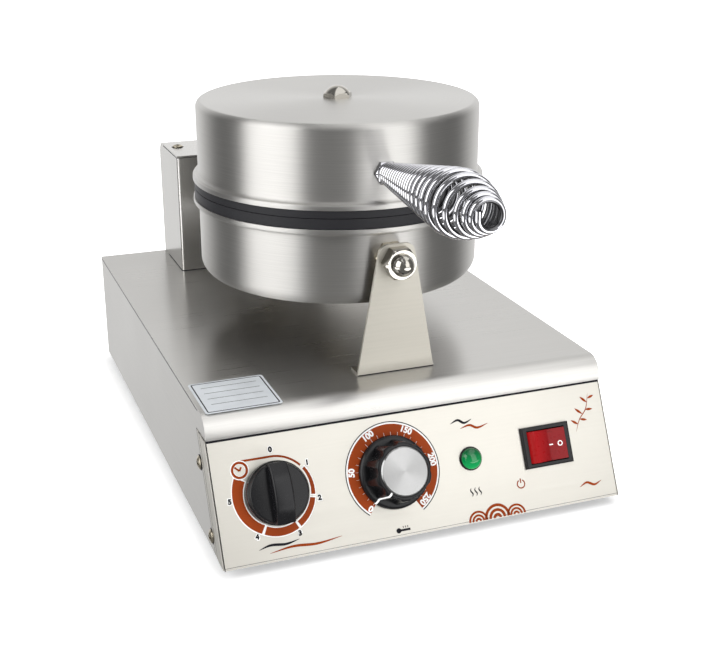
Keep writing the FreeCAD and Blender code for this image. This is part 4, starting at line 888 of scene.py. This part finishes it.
class DONUT_OT_thermostat_knob(bpy.types.Operator):
    """Black fluted thermostat knob with a spun cap and a white pointer line."""
    bl_idname = "donut_maker.thermostat_knob"
    bl_label = "Thermostat Knob"

    def execute(self, context):
        skirt = sizes().skirt_radius
        place = panel_place(*THERMOSTAT_AT)
        self.knob(place, skirt)
        work = bmesh.new()
        lathe(work, rounded(CAP_SECTION, CAP_BENDS, 3), place, KNOB_SIDES)
        show("thermostat_cap_disc", work, "aluminium", "thermostat_dial", "cap_aluminium", "thermostat_cap")
        self.pointer(place, skirt)
        return {"FINISHED"}

    @staticmethod
    def knob(place, skirt):
        """Smooth skirt with the fluted body on it; the pointer's ridge lies between two flutes."""
        sides = FLUTES * FLUTE_SIDES
        step = 2 * math.pi / sides
        middle = math.radians(POINTER_TURN + 180 / FLUTES)
        section = rounded([(skirt - inset, height) for inset, height in SKIRT_SECTION], SKIRT_BENDS, 4)
        rings = [[(p.x, p.y)] * sides for p in section]
        for radius, height, share in FLUTED_BODY:
            cuts = [fluted_radius(radius, ((k + FLUTE_SIDES / 2) % FLUTE_SIDES - FLUTE_SIDES / 2) * step)
                    for k in range(sides)]
            rings.append([(radius + (cut - radius) * share, height) for cut in cuts])
        rows = [[(r * math.cos(k * step + middle), r * math.sin(k * step + middle), z)
                 for k, (r, z) in enumerate(ring)] for ring in rings]
        work = bmesh.new()
        skin(work, rows, place)
        show("thermostat_knob_moulding", work, "black", "thermostat_dial", "knob_black", "thermostat_knob",
             smooth_angle=40)

    @staticmethod
    def pointer(place, skirt):
        """White line down the ridge that the knob points with, and on over the skirt."""
        turn = math.radians(POINTER_TURN)
        out, side = Vector((math.cos(turn), math.sin(turn), 0)), Vector((-math.sin(turn), math.cos(turn), 0))
        ridge = [(radius, height) for radius, height, share in reversed(FLUTED_BODY[1:]) if share]
        line = [POINTER_START] + ridge + [(skirt - inset, height) for inset, height in POINTER_END]
        rows = [[out * (r + lift) + side * across + Vector((0, 0, z + lift))
                 for across, lift in POINTER_SECTION] for r, z in line]
        work = bmesh.new()
        skin(work, rows, place)
        show("thermostat_pointer", work, "white_ink", "thermostat_dial", "knob_black", smooth_angle=60)


# Lamp and switch
LAMP_AT = (31.3, 38.0)
LAMP_RADIUS = 6.3
LAMP_NECK = 5.6
LAMP_EDGE = 1.25
LAMP_DOME = 4.4
LAMP_SEAT = 0.42
LAMP_RING = [(0, 0.3), (5.7, 0.3), (5.7, 1.15), (6.75, 1.2), (7.1, 0.7), (7.1, 0.0), (5.8, 0.0), (5.8, -20.0),
             (0, -20.0)]
LAMP_RING_BENDS = {3: 0.2, 4: 0.2}
SWITCH_AT = (82.0, 38.0)
ROCKER_PIVOT = 0.4
ROCKER_RADIUS = 12.4
ROCKER_HALF = 9.5
ROCKER_TILT = math.radians(10.0)
ROCKER_RAISED = math.radians(24.0)
ROCKER_BELOW = math.radians(-26.0)
ROCKER_VALLEY = 2.4
# Half width and height of the flat between the rocker's two faces
ROCKER_FLAT = (0.6, 2.5)
ROCKER_STEPS = 10
ROCKER_EDGE = 0.5
# Ends and half width of the dash, and place and radii of the ring, on the rocker's raised face
DASH_ENDS = (0.4, 2.8)
DASH_HALF = 0.35
RING_AT = (7.6, 0)
RING_RADII = (1.05, 1.65)


class DONUT_OT_lamp(bpy.types.Operator):
    """Green lamp: a black ring with a domed lens."""
    bl_idname = "donut_maker.lamp"
    bl_label = "Lamp"

    def execute(self, context):
        place = panel_place(*LAMP_AT)
        turns = [math.radians(t) for t in range(0, 91, 6)]
        dome = [(LAMP_RADIUS * math.sin(t), LAMP_EDGE + LAMP_DOME * math.cos(t)) for t in turns]
        dome[0] = (0, LAMP_EDGE + LAMP_DOME)
        work = bmesh.new()
        below = [(LAMP_NECK, LAMP_EDGE), (LAMP_NECK, LAMP_SEAT), (0, LAMP_SEAT)]
        lathe(work, [Vector(p) for p in dome + below], place, LAMP_SIDES)
        show("lamp_dome", work, "green", "base", "lamp_green", "lamp_lens")
        work = bmesh.new()
        lathe(work, rounded(LAMP_RING, LAMP_RING_BENDS, 4), place, LAMP_SIDES)
        show("lamp_ring", work, "black", "base", "body_plastic", "lamp_bezel")
        return {"FINISHED"}


def rocker_place():
    return panel_place(*SWITCH_AT, ROCKER_PIVOT) @ Matrix.Rotation(ROCKER_TILT, 4, "Y")


def rocker_outline():
    """Side outline of the rocker about its pivot, before it is tilted."""
    turns = [ROCKER_RAISED + (ROCKER_BELOW - ROCKER_RAISED) * k / ROCKER_STEPS
             for k in range(ROCKER_STEPS + 1)]
    right = [(ROCKER_RADIUS * math.cos(t), ROCKER_RADIUS * math.sin(t)) for t in turns]
    half, height = ROCKER_FLAT
    return right + [(-x, z) for x, z in reversed(right)] + [(-half, height), (half, height)]


class DONUT_OT_rocker(bpy.types.Operator):
    """Red rocker with a shallow V face, soft edges and white marks."""
    bl_idname = "donut_maker.rocker"
    bl_label = "Rocker"

    def execute(self, context):
        work = bmesh.new()
        skin(work, [[(x, y, z) for x, z in rocker_outline()] for y in (-ROCKER_HALF, ROCKER_HALF)],
             rocker_place())
        caps = [face for face in work.faces if len(face.verts) > 4]
        rims = list({edge for face in caps for edge in face.edges})
        bmesh.ops.bevel(work, geom=rims, offset=ROCKER_EDGE * MM, segments=3, affect="EDGES", profile=0.6)
        show("rocker_moulding", work, "red", "rocker", "rocker_red", "switch_rocker", smooth_angle=25)
        top = Vector((ROCKER_RADIUS * math.cos(ROCKER_RAISED), ROCKER_RADIUS * math.sin(ROCKER_RAISED)))
        slope = math.atan2(top.y - ROCKER_VALLEY, top.x)
        facet = rocker_place() @ Matrix.Translation((0, 0, ROCKER_VALLEY)) @ Matrix.Rotation(-slope, 4, "Y")
        work = bmesh.new()
        ribbon(work, facet, *[[(x, y) for x in DASH_ENDS] for y in (-DASH_HALF, DASH_HALF)], 1)
        ring(work, facet, RING_AT, *RING_RADII, 1, 24)
        show("rocker_marks", work, "white_ink", "rocker", "rocker_red")
        return {"FINISHED"}


# Panel print, drawn in millimetres along the panel and up its slope
PRINT_SINK = 0.02
PRINT_LAYER = 0.05
HALO = 0.6
# Height of a digit as a share of the font's size
DIGIT_HEIGHT = 0.70
TIMER_RING = (-89.5, 36.8)
TIMER_OUTER = 22.4
# The thin line from the clock to the first mark: its width, its straight part's end and its turns
TIMER_LINE = 1.2
TIMER_LINE_BENDS = -95.5
TIMER_LINE_TURNS = (0, 49)
# Each stretch of the timer's band: its turns clockwise from the top, its width at both ends,
# and how far its outside leaves the ring
TIMER_BANDS = [((55, 98), (1.7, 2.4), 0.0), ((103, 149), (3.0, 3.6), 0.0), ((153, 206), (4.4, 4.8), 0.0),
               ((210, 301), (5.0, 6.6), 3.2)]
# How far the band's outside lies beyond the line's, and how many degrees its white edge passes its ends
TIMER_BAND_STEP = 0.5
TIMER_BAND_HALO = 2
# Each digit, its turn and its distance from the ring's middle
TIMER_DIGITS = [("0", 1, 25.6), ("1", 54, 25.6), ("2", 103, 25.6), ("3", 156, 25.6), ("4", 214, 25.6),
                ("5", 271, 26.8)]
TIMER_DIGIT = 2.8
# Boldness of the timer's digits and of their white surround
TIMER_BOLD = 0.24
SURROUND_BOLD = 0.7
CLOCK_AT = (-108.2, 53.8)
CLOCK_RADIUS = 4.9
CLOCK_LINE = 1.4
# The hands' shared foot and their tips, from the clock's middle
CLOCK_FOOT = (0, -0.5)
CLOCK_TIPS = ((-2.6, 2.0), (1.2, 1.6))
CLOCK_HAND = 1.0
DIAL_RING = (-18.3, 38.4)
DIAL_LINE = 28.9
DIAL_LINE_HALF = 0.28
DIAL_BAND = (19.5, 27.7)
DIAL_OVERLAP = 0.2
DIAL_SWEEP = (-141, 149)
DIAL_NUMBERS = [("0", -138), ("50", -83), ("100", -28), ("150", 28), ("200", 83), ("250", 138)]
DIAL_NUMBER_RING = 25.3
DIAL_NUMBER = 3.5
DIAL_BOLD = 0.22
TICKS = 26
TICK_RING = 22.0
TICK_TURN = 138
TICK_LENGTH = 2.0
TICK_WIDTH = 0.7
POWER_AT = (61.1, 17.8)
POWER_RADII = (2.1, 2.8)
POWER_GAP = 28
POWER_BAR = (0.6, 3.3)
# Heat waves: where each stands, and its line about that place
WAVES = (28.6, 31.3, 34.0)
WAVE = [(0, 15.6), (0.6, 17.2), (-0.6, 19.2), (0, 20.8)]
WAVE_WIDTH = 0.8
BULB_AT = (-20.6, 4.2)
BULB_RADII = (0.05, 1.5)
STEM_END = (-13.4, 4.2)
STEM_WIDTH = 1.3
STEM_MARKS = (-17.6, -16.2, -14.8)
STEM_MARK = (5.4, 6.5)
STEM_MARK_WIDTH = 0.4
# Wave fans: where each stands along the panel and its radius, with the shares of its arches
FANS = ((30.0, 6.2), (42.5, 8.4), (55.0, 6.2))
FAN_FOOT = 0.8
FAN_ARCHES = (1.0, 0.66, 0.33)
FAN_LINE = 0.2
FAN_HOLE = 0.05
# Sprig: its stem, and the foot and tip of each leaf
SPRIG = [(104, 43), (107.5, 50), (113, 56), (116, 65)]
SPRIG_WIDTH = 0.55
LEAVES = (((106, 47.2), (101.6, 50.2)), ((107.6, 50.2), (112.4, 49.0)), ((110, 53), (105.4, 57)),
          ((112.4, 55.4), (117.4, 55.2)), ((114.4, 59.6), (110.2, 63.6)), ((115.3, 62), (119.6, 63.4)))
PEN_STROKES = (("dark_ink", [(-104, 8.2), (-97, 9.8), (-88, 9.0), (-80, 10.4)]),
               ("rust_ink", [(-98, 5.4), (-84, 7.0), (-70, 6.0), (-55, 7.6)]),
               ("dark_ink", [(22, 60), (27, 61.6), (31, 59.4), (36, 61)]),
               ("rust_ink", [(28, 56.4), (34, 57.6), (39, 55.4), (46, 57)]),
               ("rust_ink", [(100, 9.4), (105, 11.4), (110, 9.4), (115, 11.2)]))
PEN_WIDTH = 1.5
# Share of its full width that a pen stroke keeps at its ends
PEN_TAPER = 0.12


def arc(centre, radius, turns, steps=48):
    """Points round a centre, with turns clockwise from the top in degrees; two radii make it a spiral."""
    start, end = radius if isinstance(radius, tuple) else (radius, radius)
    points = []
    for k in range(steps + 1):
        share = k / steps
        reach = start + (end - start) * share
        turn = math.radians(turns[0] + (turns[1] - turns[0]) * share)
        points.append((centre[0] + reach * math.sin(turn), centre[1] + reach * math.cos(turn)))
    return points


def on_ring(centre, radius, turn):
    return arc(centre, radius, (turn, turn), 1)[0]


def ribbon(work, place, left, right, layer, loop=False):
    """Thin closed strip of ink between two lines of points, a number of layers high."""
    low, high = -PRINT_SINK, PRINT_LAYER * layer
    rows = [[(*a, low), (*a, high), (*b, high), (*b, low)] for a, b in zip(left, right)]
    skin(work, rows, place, loop)


def band(work, place, centre, radii, turns, layer, steps=48):
    """Ribbon between two radii round a centre."""
    ribbon(work, place, *[arc(centre, radius, turns, steps) for radius in radii], layer)


def ring(work, place, centre, inner, outer, layer, steps=60):
    """Ribbon all the way round a centre."""
    turns = (0, 360 - 360 / steps)
    ribbon(work, place, *[arc(centre, r, turns, steps - 1) for r in (inner, outer)], layer, loop=True)


def bar(start, end, wide):
    """Two sides of a straight line."""
    start, end = Vector(start), Vector(end)
    along = (end - start).normalized()
    across = Vector((-along.y, along.x)) * wide / 2
    return [start + across, end + across], [start - across, end - across]


def stroke(points, wide, steps=14):
    """Two sides of a pen stroke that runs smoothly through points and thins towards its ends."""
    points = [Vector(p) for p in points]
    held = [2 * points[0] - points[1]] + points + [2 * points[-1] - points[-2]]
    line = []
    for a, b, c, d in zip(held, held[1:], held[2:], held[3:]):
        for k in range(steps):
            t = k / steps
            line.append(0.5 * (2 * b + (c - a) * t + (2 * a - 5 * b + 4 * c - d) * t * t
                               + (3 * b - a - 3 * c + d) * t ** 3))
    line.append(points[-1])
    left, right = [], []
    for i, point in enumerate(line):
        ahead = line[min(i + 1, len(line) - 1)] - line[max(i - 1, 0)]
        across = Vector((-ahead.y, ahead.x)).normalized()
        half = wide / 2 * (PEN_TAPER + (1 - PEN_TAPER) * math.sin(math.pi * i / (len(line) - 1)))
        left.append(tuple(point + across * half))
        right.append(tuple(point - across * half))
    return left, right


def lettered(work, text, height, at, turn, layer, bold):
    """Digits as thin closed meshes, turned clockwise about their middle."""
    curve = bpy.data.curves.new("digits", "FONT")
    curve.body, curve.size, curve.offset = text, height / DIGIT_HEIGHT, bold
    curve.align_x, curve.align_y = "CENTER", "CENTER"
    curve.extrude = (PRINT_LAYER * layer + PRINT_SINK) / 2
    thing = bpy.data.objects.new("digits", curve)
    bpy.context.scene.collection.objects.link(thing)
    mesh = plain_mesh(thing, "digits")
    lift = PRINT_LAYER * layer - curve.extrude
    mesh.transform(panel_place(*at, lift) @ Matrix.Rotation(math.radians(-turn), 4, "Z"))
    work.from_mesh(mesh)
    bpy.data.meshes.remove(mesh)


class DONUT_OT_panel_print(bpy.types.Operator):
    """Scales, plain marks and ornament printed on the control panel."""
    bl_idname = "donut_maker.panel_print"
    bl_label = "Panel Print"

    def execute(self, context):
        place = panel_place(0, 0)
        inks = {ink: bmesh.new() for ink in ("white_ink", "rust_ink", "dark_ink")}
        self.timer_scale(inks, place)
        self.thermostat_scale(inks, place)
        self.plain_marks(inks, place)
        self.ornament(inks, place)
        for ink, work in inks.items():
            show("print_" + ink, work, ink, "base", "panel_steel")
        self.ticks(place)
        return {"FINISHED"}

    @staticmethod
    def timer_scale(inks, place):
        """Band that widens round the timer, with a thin line to a small clock, and digits."""
        rust, white = inks["rust_ink"], inks["white_ink"]
        up = TIMER_RING[1]
        line = [[(CLOCK_AT[0], up + r), (TIMER_LINE_BENDS, up + r)] + arc(TIMER_RING, r, TIMER_LINE_TURNS)
                for r in (TIMER_OUTER - TIMER_LINE, TIMER_OUTER)]
        ribbon(rust, place, *line, 2)
        start = TIMER_OUTER + TIMER_BAND_STEP
        for turns, widths, widens in TIMER_BANDS:
            outside = (start, start + widens)
            inside = (outside[0] - widths[0], outside[1] - widths[1])
            band(rust, place, TIMER_RING, (inside, outside), turns, 2)
            halo = [tuple(r + grow for r in radii) for radii, grow in ((inside, -HALO), (outside, HALO))]
            band(white, place, TIMER_RING, halo, (turns[0] - TIMER_BAND_HALO, turns[1] + TIMER_BAND_HALO), 1)
        hole = CLOCK_RADIUS - CLOCK_LINE
        ring(rust, place, CLOCK_AT, hole, CLOCK_RADIUS, 4)
        ring(white, place, CLOCK_AT, hole - HALO / 2, CLOCK_RADIUS + HALO, 3)
        middle = Vector(CLOCK_AT)
        for tip in CLOCK_TIPS:
            ribbon(rust, place, *bar(middle + Vector(CLOCK_FOOT), middle + Vector(tip), CLOCK_HAND), 4)
        for digit, turn, away in TIMER_DIGITS:
            at = on_ring(TIMER_RING, away, turn)
            lettered(white, digit, TIMER_DIGIT, at, 0, 1, SURROUND_BOLD)
            lettered(inks["dark_ink"], digit, TIMER_DIGIT, at, 0, 2, TIMER_BOLD)

    @staticmethod
    def thermostat_scale(inks, place):
        """Band with white numbers round the thermostat, edged with white and a thin dark line."""
        inner, outer = DIAL_BAND
        for ink, radii, layer in (("dark_ink", (DIAL_LINE - DIAL_LINE_HALF, DIAL_LINE + DIAL_LINE_HALF), 2),
                                  ("white_ink", (outer - DIAL_OVERLAP, DIAL_LINE), 1),
                                  ("rust_ink", (inner, outer), 2)):
            band(inks[ink], place, DIAL_RING, radii, DIAL_SWEEP, layer, 120)
        for number, turn in DIAL_NUMBERS:
            at = on_ring(DIAL_RING, DIAL_NUMBER_RING, turn)
            lettered(inks["white_ink"], number, DIAL_NUMBER, at, turn, 3, DIAL_BOLD)

    @staticmethod
    def plain_marks(inks, place):
        """Power sign under the switch, heat waves under the lamp and a thermometer under the dial."""
        rust, dark = inks["rust_ink"], inks["dark_ink"]
        band(rust, place, POWER_AT, POWER_RADII, (POWER_GAP, 360 - POWER_GAP), 2, 32)
        x, up = POWER_AT
        ribbon(rust, place, *bar(*[(x, up + rise) for rise in POWER_BAR], POWER_RADII[1] - POWER_RADII[0]), 2)
        for x in WAVES:
            ribbon(dark, place, *stroke([(x + sway, up) for sway, up in WAVE], WAVE_WIDTH, 6), 2)
        ring(dark, place, BULB_AT, *BULB_RADII, 2)
        ribbon(dark, place, *bar(BULB_AT, STEM_END, STEM_WIDTH), 2)
        for x in STEM_MARKS:
            ribbon(dark, place, *bar(*[(x, up) for up in STEM_MARK], STEM_MARK_WIDTH), 2)

    @staticmethod
    def ornament(inks, place):
        """Row of wave fans by the lower edge, a leafy sprig and a few plain pen strokes."""
        rust = inks["rust_ink"]
        for x, size in FANS:
            for share in FAN_ARCHES:
                outer = size * share
                inner = max(outer - FAN_LINE * size, FAN_HOLE)
                band(rust, place, (x, FAN_FOOT), (inner, outer), (-90, 90), 2, 32)
        ribbon(rust, place, *stroke(SPRIG, SPRIG_WIDTH), 2)
        for foot, tip in LEAVES:
            middle = (Vector(foot) + Vector(tip)) / 2
            ribbon(rust, place, *stroke([foot, middle, tip], PEN_WIDTH, 8), 2)
        for ink, line in PEN_STROKES:
            ribbon(inks[ink], place, *stroke(line, PEN_WIDTH), 2)

    @staticmethod
    def ticks(place):
        """White ticks along the inner edge of the thermostat's band."""
        tree, given, keys = new_tree("marks_round_dial", ("Count", "NodeSocketInt"),
                                     ("Radius", "NodeSocketFloat"), ("Start", "NodeSocketFloat"),
                                     ("Sweep", "NodeSocketFloat"), ("Mark size", "NodeSocketVector"))
        path = put(tree, "GeometryNodeCurveArc", {
            "Resolution": SIDES, "Radius": given[2], "Start Angle": given[3], "Sweep Angle": given[4]})
        spots = put(tree, "GeometryNodeCurveToPoints", {"Curve": path.outputs[0], "Count": given[1]})
        mark = put(tree, "GeometryNodeMeshCube", {"Size": given[5]})
        placed = put(tree, "GeometryNodeInstanceOnPoints", {
            "Points": spots.outputs[0], "Instance": mark.outputs[0], "Rotation": spots.outputs["Rotation"]})
        end_tree(tree, placed.outputs[0], finishes["white_ink"])
        first, last = [math.radians(90 - turn) for turn in (TICK_TURN, -TICK_TURN)]
        mesh = grown("dial_ticks", bpy.data.meshes.new("dial_ticks"), tree, {
            keys[0]: TICKS, keys[1]: TICK_RING, keys[2]: first, keys[3]: last - first,
            keys[4]: (TICK_LENGTH, TICK_WIDTH, 2.0 * PRINT_LAYER)})
        mesh.transform(place @ Matrix.Translation((*DIAL_RING, 2 * PRINT_LAYER)))
        piece("dial_ticks", mesh, "base", "panel_steel")


# Sheet joints, painted shade lines and folded edges
# Width of a joint's dark line, and how far it stands proud of the sheet and is let into it
SEAM = 0.6
SEAM_RISE = 0.06
COLUMN_BEND = 2.0
COLUMN_BACK = 12.0
# Lower and upper edge, up the panel's slope, of the painted shadow under the lip and of the painted shade at
# the fold
LIP_SHADE = (71.1, 73.6)
FOLD_SHADE = (1.5, 1.7)
# Width of the painted shade at each end of the control panel
END_SHADE = 0.3
SIDE_SEAM_FRONT = 45.0
# How deep each folded edge reaches behind the panel's face, and how far it stands out
FLANGES = ((16.0, 0.25), (10.6, 0.5))
FLANGE_FRONT = 0.4
FLANGE_FOOT = 0.4
FLANGE_TOP = 71.0
# Width of the painted shadow beside each folded edge
FLANGE_SHADOW = 1.5
# Radius of the painted shade ring round a screw, as a share of its head's
SCREW_SHADE = 1.16


class DONUT_OT_joints(bpy.types.Operator):
    """Dark lines at the sheets' joints, painted shade under the lip, at the panel's fold and ends, round the
    screws, along the bracket's foot and beside the folded edges, and the folded edges beside the control
    panel.
    """
    bl_idname = "donut_maker.joints"
    bl_label = "Sheet Joints"

    def execute(self, context):
        dark, folds = bmesh.new(), bmesh.new()
        self.panel_lines(dark)
        self.screw_shade_rings(dark)
        self.column_lines(dark)
        # Dark strip along the front bracket's foot: a painted contact shadow
        low, high = self.corners("front_bracket")
        foot = self.section(low.y, -1, low.z, low.z + SEAM)
        skin(dark, [[(x, y, z) for y, z in foot] for x in (low.x, high.x)], IN_MM)
        low, high = self.corners("left_side_panel")
        for side in (-1, 1):
            face = side * abs(low.x)
            wall = self.section(face, side, high.z - SEAM, high.z)
            skin(dark, [[(x, y, z) for x, z in wall] for y in (low.y + SIDE_SEAM_FRONT, high.y)], IN_MM)
            for deep, rise in FLANGES:
                self.flange(folds, face, FLANGE_FRONT, deep, side * rise)
                # Dark strip beside each folded edge: a painted contact shadow
                self.flange(dark, face, deep, deep + FLANGE_SHADOW, side * (rise - FLANGES[0][1] + SEAM_RISE))
        show("joint_lines", dark, "dark_ink", "base", "rubber")
        show("folded_edges", folds, "panel", "base", "panel_steel")
        return {"FINISHED"}

    @staticmethod
    def corners(node):
        """Lowest and highest corner of a node in millimetres."""
        return [Vector(corner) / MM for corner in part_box(node)]

    @staticmethod
    def section(face, way, low, high):
        """Section of a line on an upright face that looks a way along its axis, between two heights."""
        proud, sunk = face + way * SEAM_RISE, face - way * SEAM_RISE
        return [(sunk, low), (proud, low), (proud, high), (sunk, high)]

    def panel_lines(self, work):
        """Painted shade lines under the lip, at the fold and at both ends of the control panel."""
        half = self.corners("control_panel")[1].x
        face = panel_place(0, 0)
        for edges in (LIP_SHADE, FOLD_SHADE):
            ribbon(work, face, *[[(-half, up), (half, up)] for up in edges], 1)
        for side in (-1, 1):
            ends = [[(side * x, up) for up in (0, LIP_SHADE[0])] for x in (half - END_SHADE, half)]
            ribbon(work, face, *ends, 1)

    @staticmethod
    def screw_shade_rings(work):
        # A thin dark disc under each screw head: painted shade round its edge
        for spot, way, radius in SCREWS:
            turn = Vector(way).to_track_quat("Z", "Y").to_matrix().to_4x4()
            reach = radius * SCREW_SHADE
            disc = [(0, SEAM_RISE), (reach, SEAM_RISE), (reach, -SEAM_RISE), (0, -SEAM_RISE)]
            lathe(work, [Vector(point) for point in disc],
                  Matrix.Translation(Vector(spot) * MM) @ turn @ IN_MM, SCREW_SIDES)

    def column_lines(self, work):
        """Lines round the column's sides and front, at its foot and under its cover."""
        low, high = self.corners("column_body")
        back = high.y - COLUMN_BACK
        outer, inner = [rounded([(low.x - r, back), (low.x - r, low.y - r), (high.x + r, low.y - r),
                                 (high.x + r, back)], {1: COLUMN_BEND + r, 2: COLUMN_BEND + r})
                        for r in (SEAM_RISE, -SEAM_RISE)]
        for height in (low.z, high.z - SEAM):
            top = height + SEAM
            rows = [[(*a, height), (*a, top), (*b, top), (*b, height)] for a, b in zip(outer, inner)]
            skin(work, rows, IN_MM)

    @staticmethod
    def flange(work, face, near, far, rise):
        """Thin strip on a side panel, between two distances behind the control panel's face."""
        sunk, proud = face - math.copysign(SEAM_RISE, rise), face + rise
        rows = []
        for deep in (near, far):
            drop = deep * PANEL_OUT.z
            low, high = [(up + drop) / PANEL_UP.z for up in (FLANGE_FOOT, FLANGE_TOP - PANEL_FOOT.z / MM)]
            rows.append([(sunk, low, -deep), (proud, low, -deep), (proud, high, -deep), (sunk, high, -deep)])
        skin(work, rows, panel_place(0, 0))


# Blank label on the base
LABEL_LOW = (-122.4, -111.6)
LABEL_HIGH = (-77.2, -67.4)
LABEL_CORNER = 2.0
# How much a corner's radius shrinks for each millimetre in from the edge
LABEL_TIGHTENS = 0.6
LABEL_TOP = 84.7
# How far in from the edge the border's inner and outer lines lie
LABEL_BORDER = (2.1, 1.4)
LABEL_RULES = (-76.0, -84.0, -92.0, -100.0)
LABEL_RULE_INSET = 6.0
LABEL_RULE = 0.35


class DONUT_OT_label(bpy.types.Operator):
    """Blank ruled label with a dark border on the base's top."""
    bl_idname = "donut_maker.label"
    bl_label = "Blank Label"

    def execute(self, context):
        place = Matrix.Translation((0, 0, LABEL_TOP * MM)) @ IN_MM
        plate = self.outline(0.0)
        work = bmesh.new()
        skin(work, [[(*p, z) for p in plate] for z in (-PRINT_SINK, 2 * PRINT_LAYER)], place)
        show("blank_label", work, "paper", "base", "brushed_steel")
        work = bmesh.new()
        ribbon(work, place, *[self.outline(inset) for inset in LABEL_BORDER], 3, loop=True)
        ends = (LABEL_LOW[0] + LABEL_RULE_INSET, LABEL_HIGH[0] - LABEL_RULE_INSET)
        for y in LABEL_RULES:
            ribbon(work, place, *[[(x, y + rise) for x in ends] for rise in (0, LABEL_RULE)], 3)
        show("label_border", work, "dark_ink", "base", "brushed_steel")
        return {"FINISHED"}

    @staticmethod
    def outline(inset):
        (x0, y0), (x1, y1) = LABEL_LOW, LABEL_HIGH
        x0, y0, x1, y1 = x0 + inset, y0 + inset, x1 - inset, y1 - inset
        corners = dict.fromkeys(range(4), LABEL_CORNER - LABEL_TIGHTENS * inset)
        return [tuple(p) for p in rounded([(x0, y0), (x1, y0), (x1, y1), (x0, y1)], corners, 6)]


# Add-on
OPERATORS = (DONUT_OT_finishes, DONUT_OT_stage, DONUT_OT_pans, DONUT_OT_handle, DONUT_OT_screws,
             DONUT_OT_timer_knob, DONUT_OT_thermostat_knob, DONUT_OT_lamp, DONUT_OT_rocker,
             DONUT_OT_panel_print, DONUT_OT_joints, DONUT_OT_label)


class DONUT_PT_panel(bpy.types.Panel):
    """Sizes, colours and the steps that build the donut maker."""
    bl_idname = "DONUT_PT_panel"
    bl_label = "Donut Maker"
    bl_space_type = "VIEW_3D"
    bl_region_type = "UI"
    bl_category = "Donut Maker"

    def draw(self, context):
        scene = context.scene
        for group in (scene.donut_maker_sizes, scene.donut_maker_colours):
            column = self.layout.column()
            for key in type(group).__annotations__:
                column.prop(group, key)
        for operator in OPERATORS:
            self.layout.operator(operator.bl_idname)


CLASSES = (DonutMakerSizes, DonutMakerColours, *OPERATORS, DONUT_PT_panel)


def register():
    for item in CLASSES:
        bpy.utils.register_class(item)
    bpy.types.Scene.donut_maker_sizes = PointerProperty(type=DonutMakerSizes)
    bpy.types.Scene.donut_maker_colours = PointerProperty(type=DonutMakerColours)


def unregister():
    del bpy.types.Scene.donut_maker_sizes
    del bpy.types.Scene.donut_maker_colours
    for item in reversed(CLASSES):
        bpy.utils.unregister_class(item)


def main():
    register()
    bpy.ops.donut_maker.finishes()
    bpy.ops.donut_maker.stage()
    bpy.ops.donut_maker.pans()
    bpy.ops.donut_maker.handle()
    bpy.ops.donut_maker.screws()
    bpy.ops.donut_maker.timer_knob()
    bpy.ops.donut_maker.thermostat_knob()
    bpy.ops.donut_maker.lamp()
    bpy.ops.donut_maker.rocker()
    bpy.ops.donut_maker.panel_print()
    bpy.ops.donut_maker.joints()
    bpy.ops.donut_maker.label()


if __name__ == "__main__":
    main()
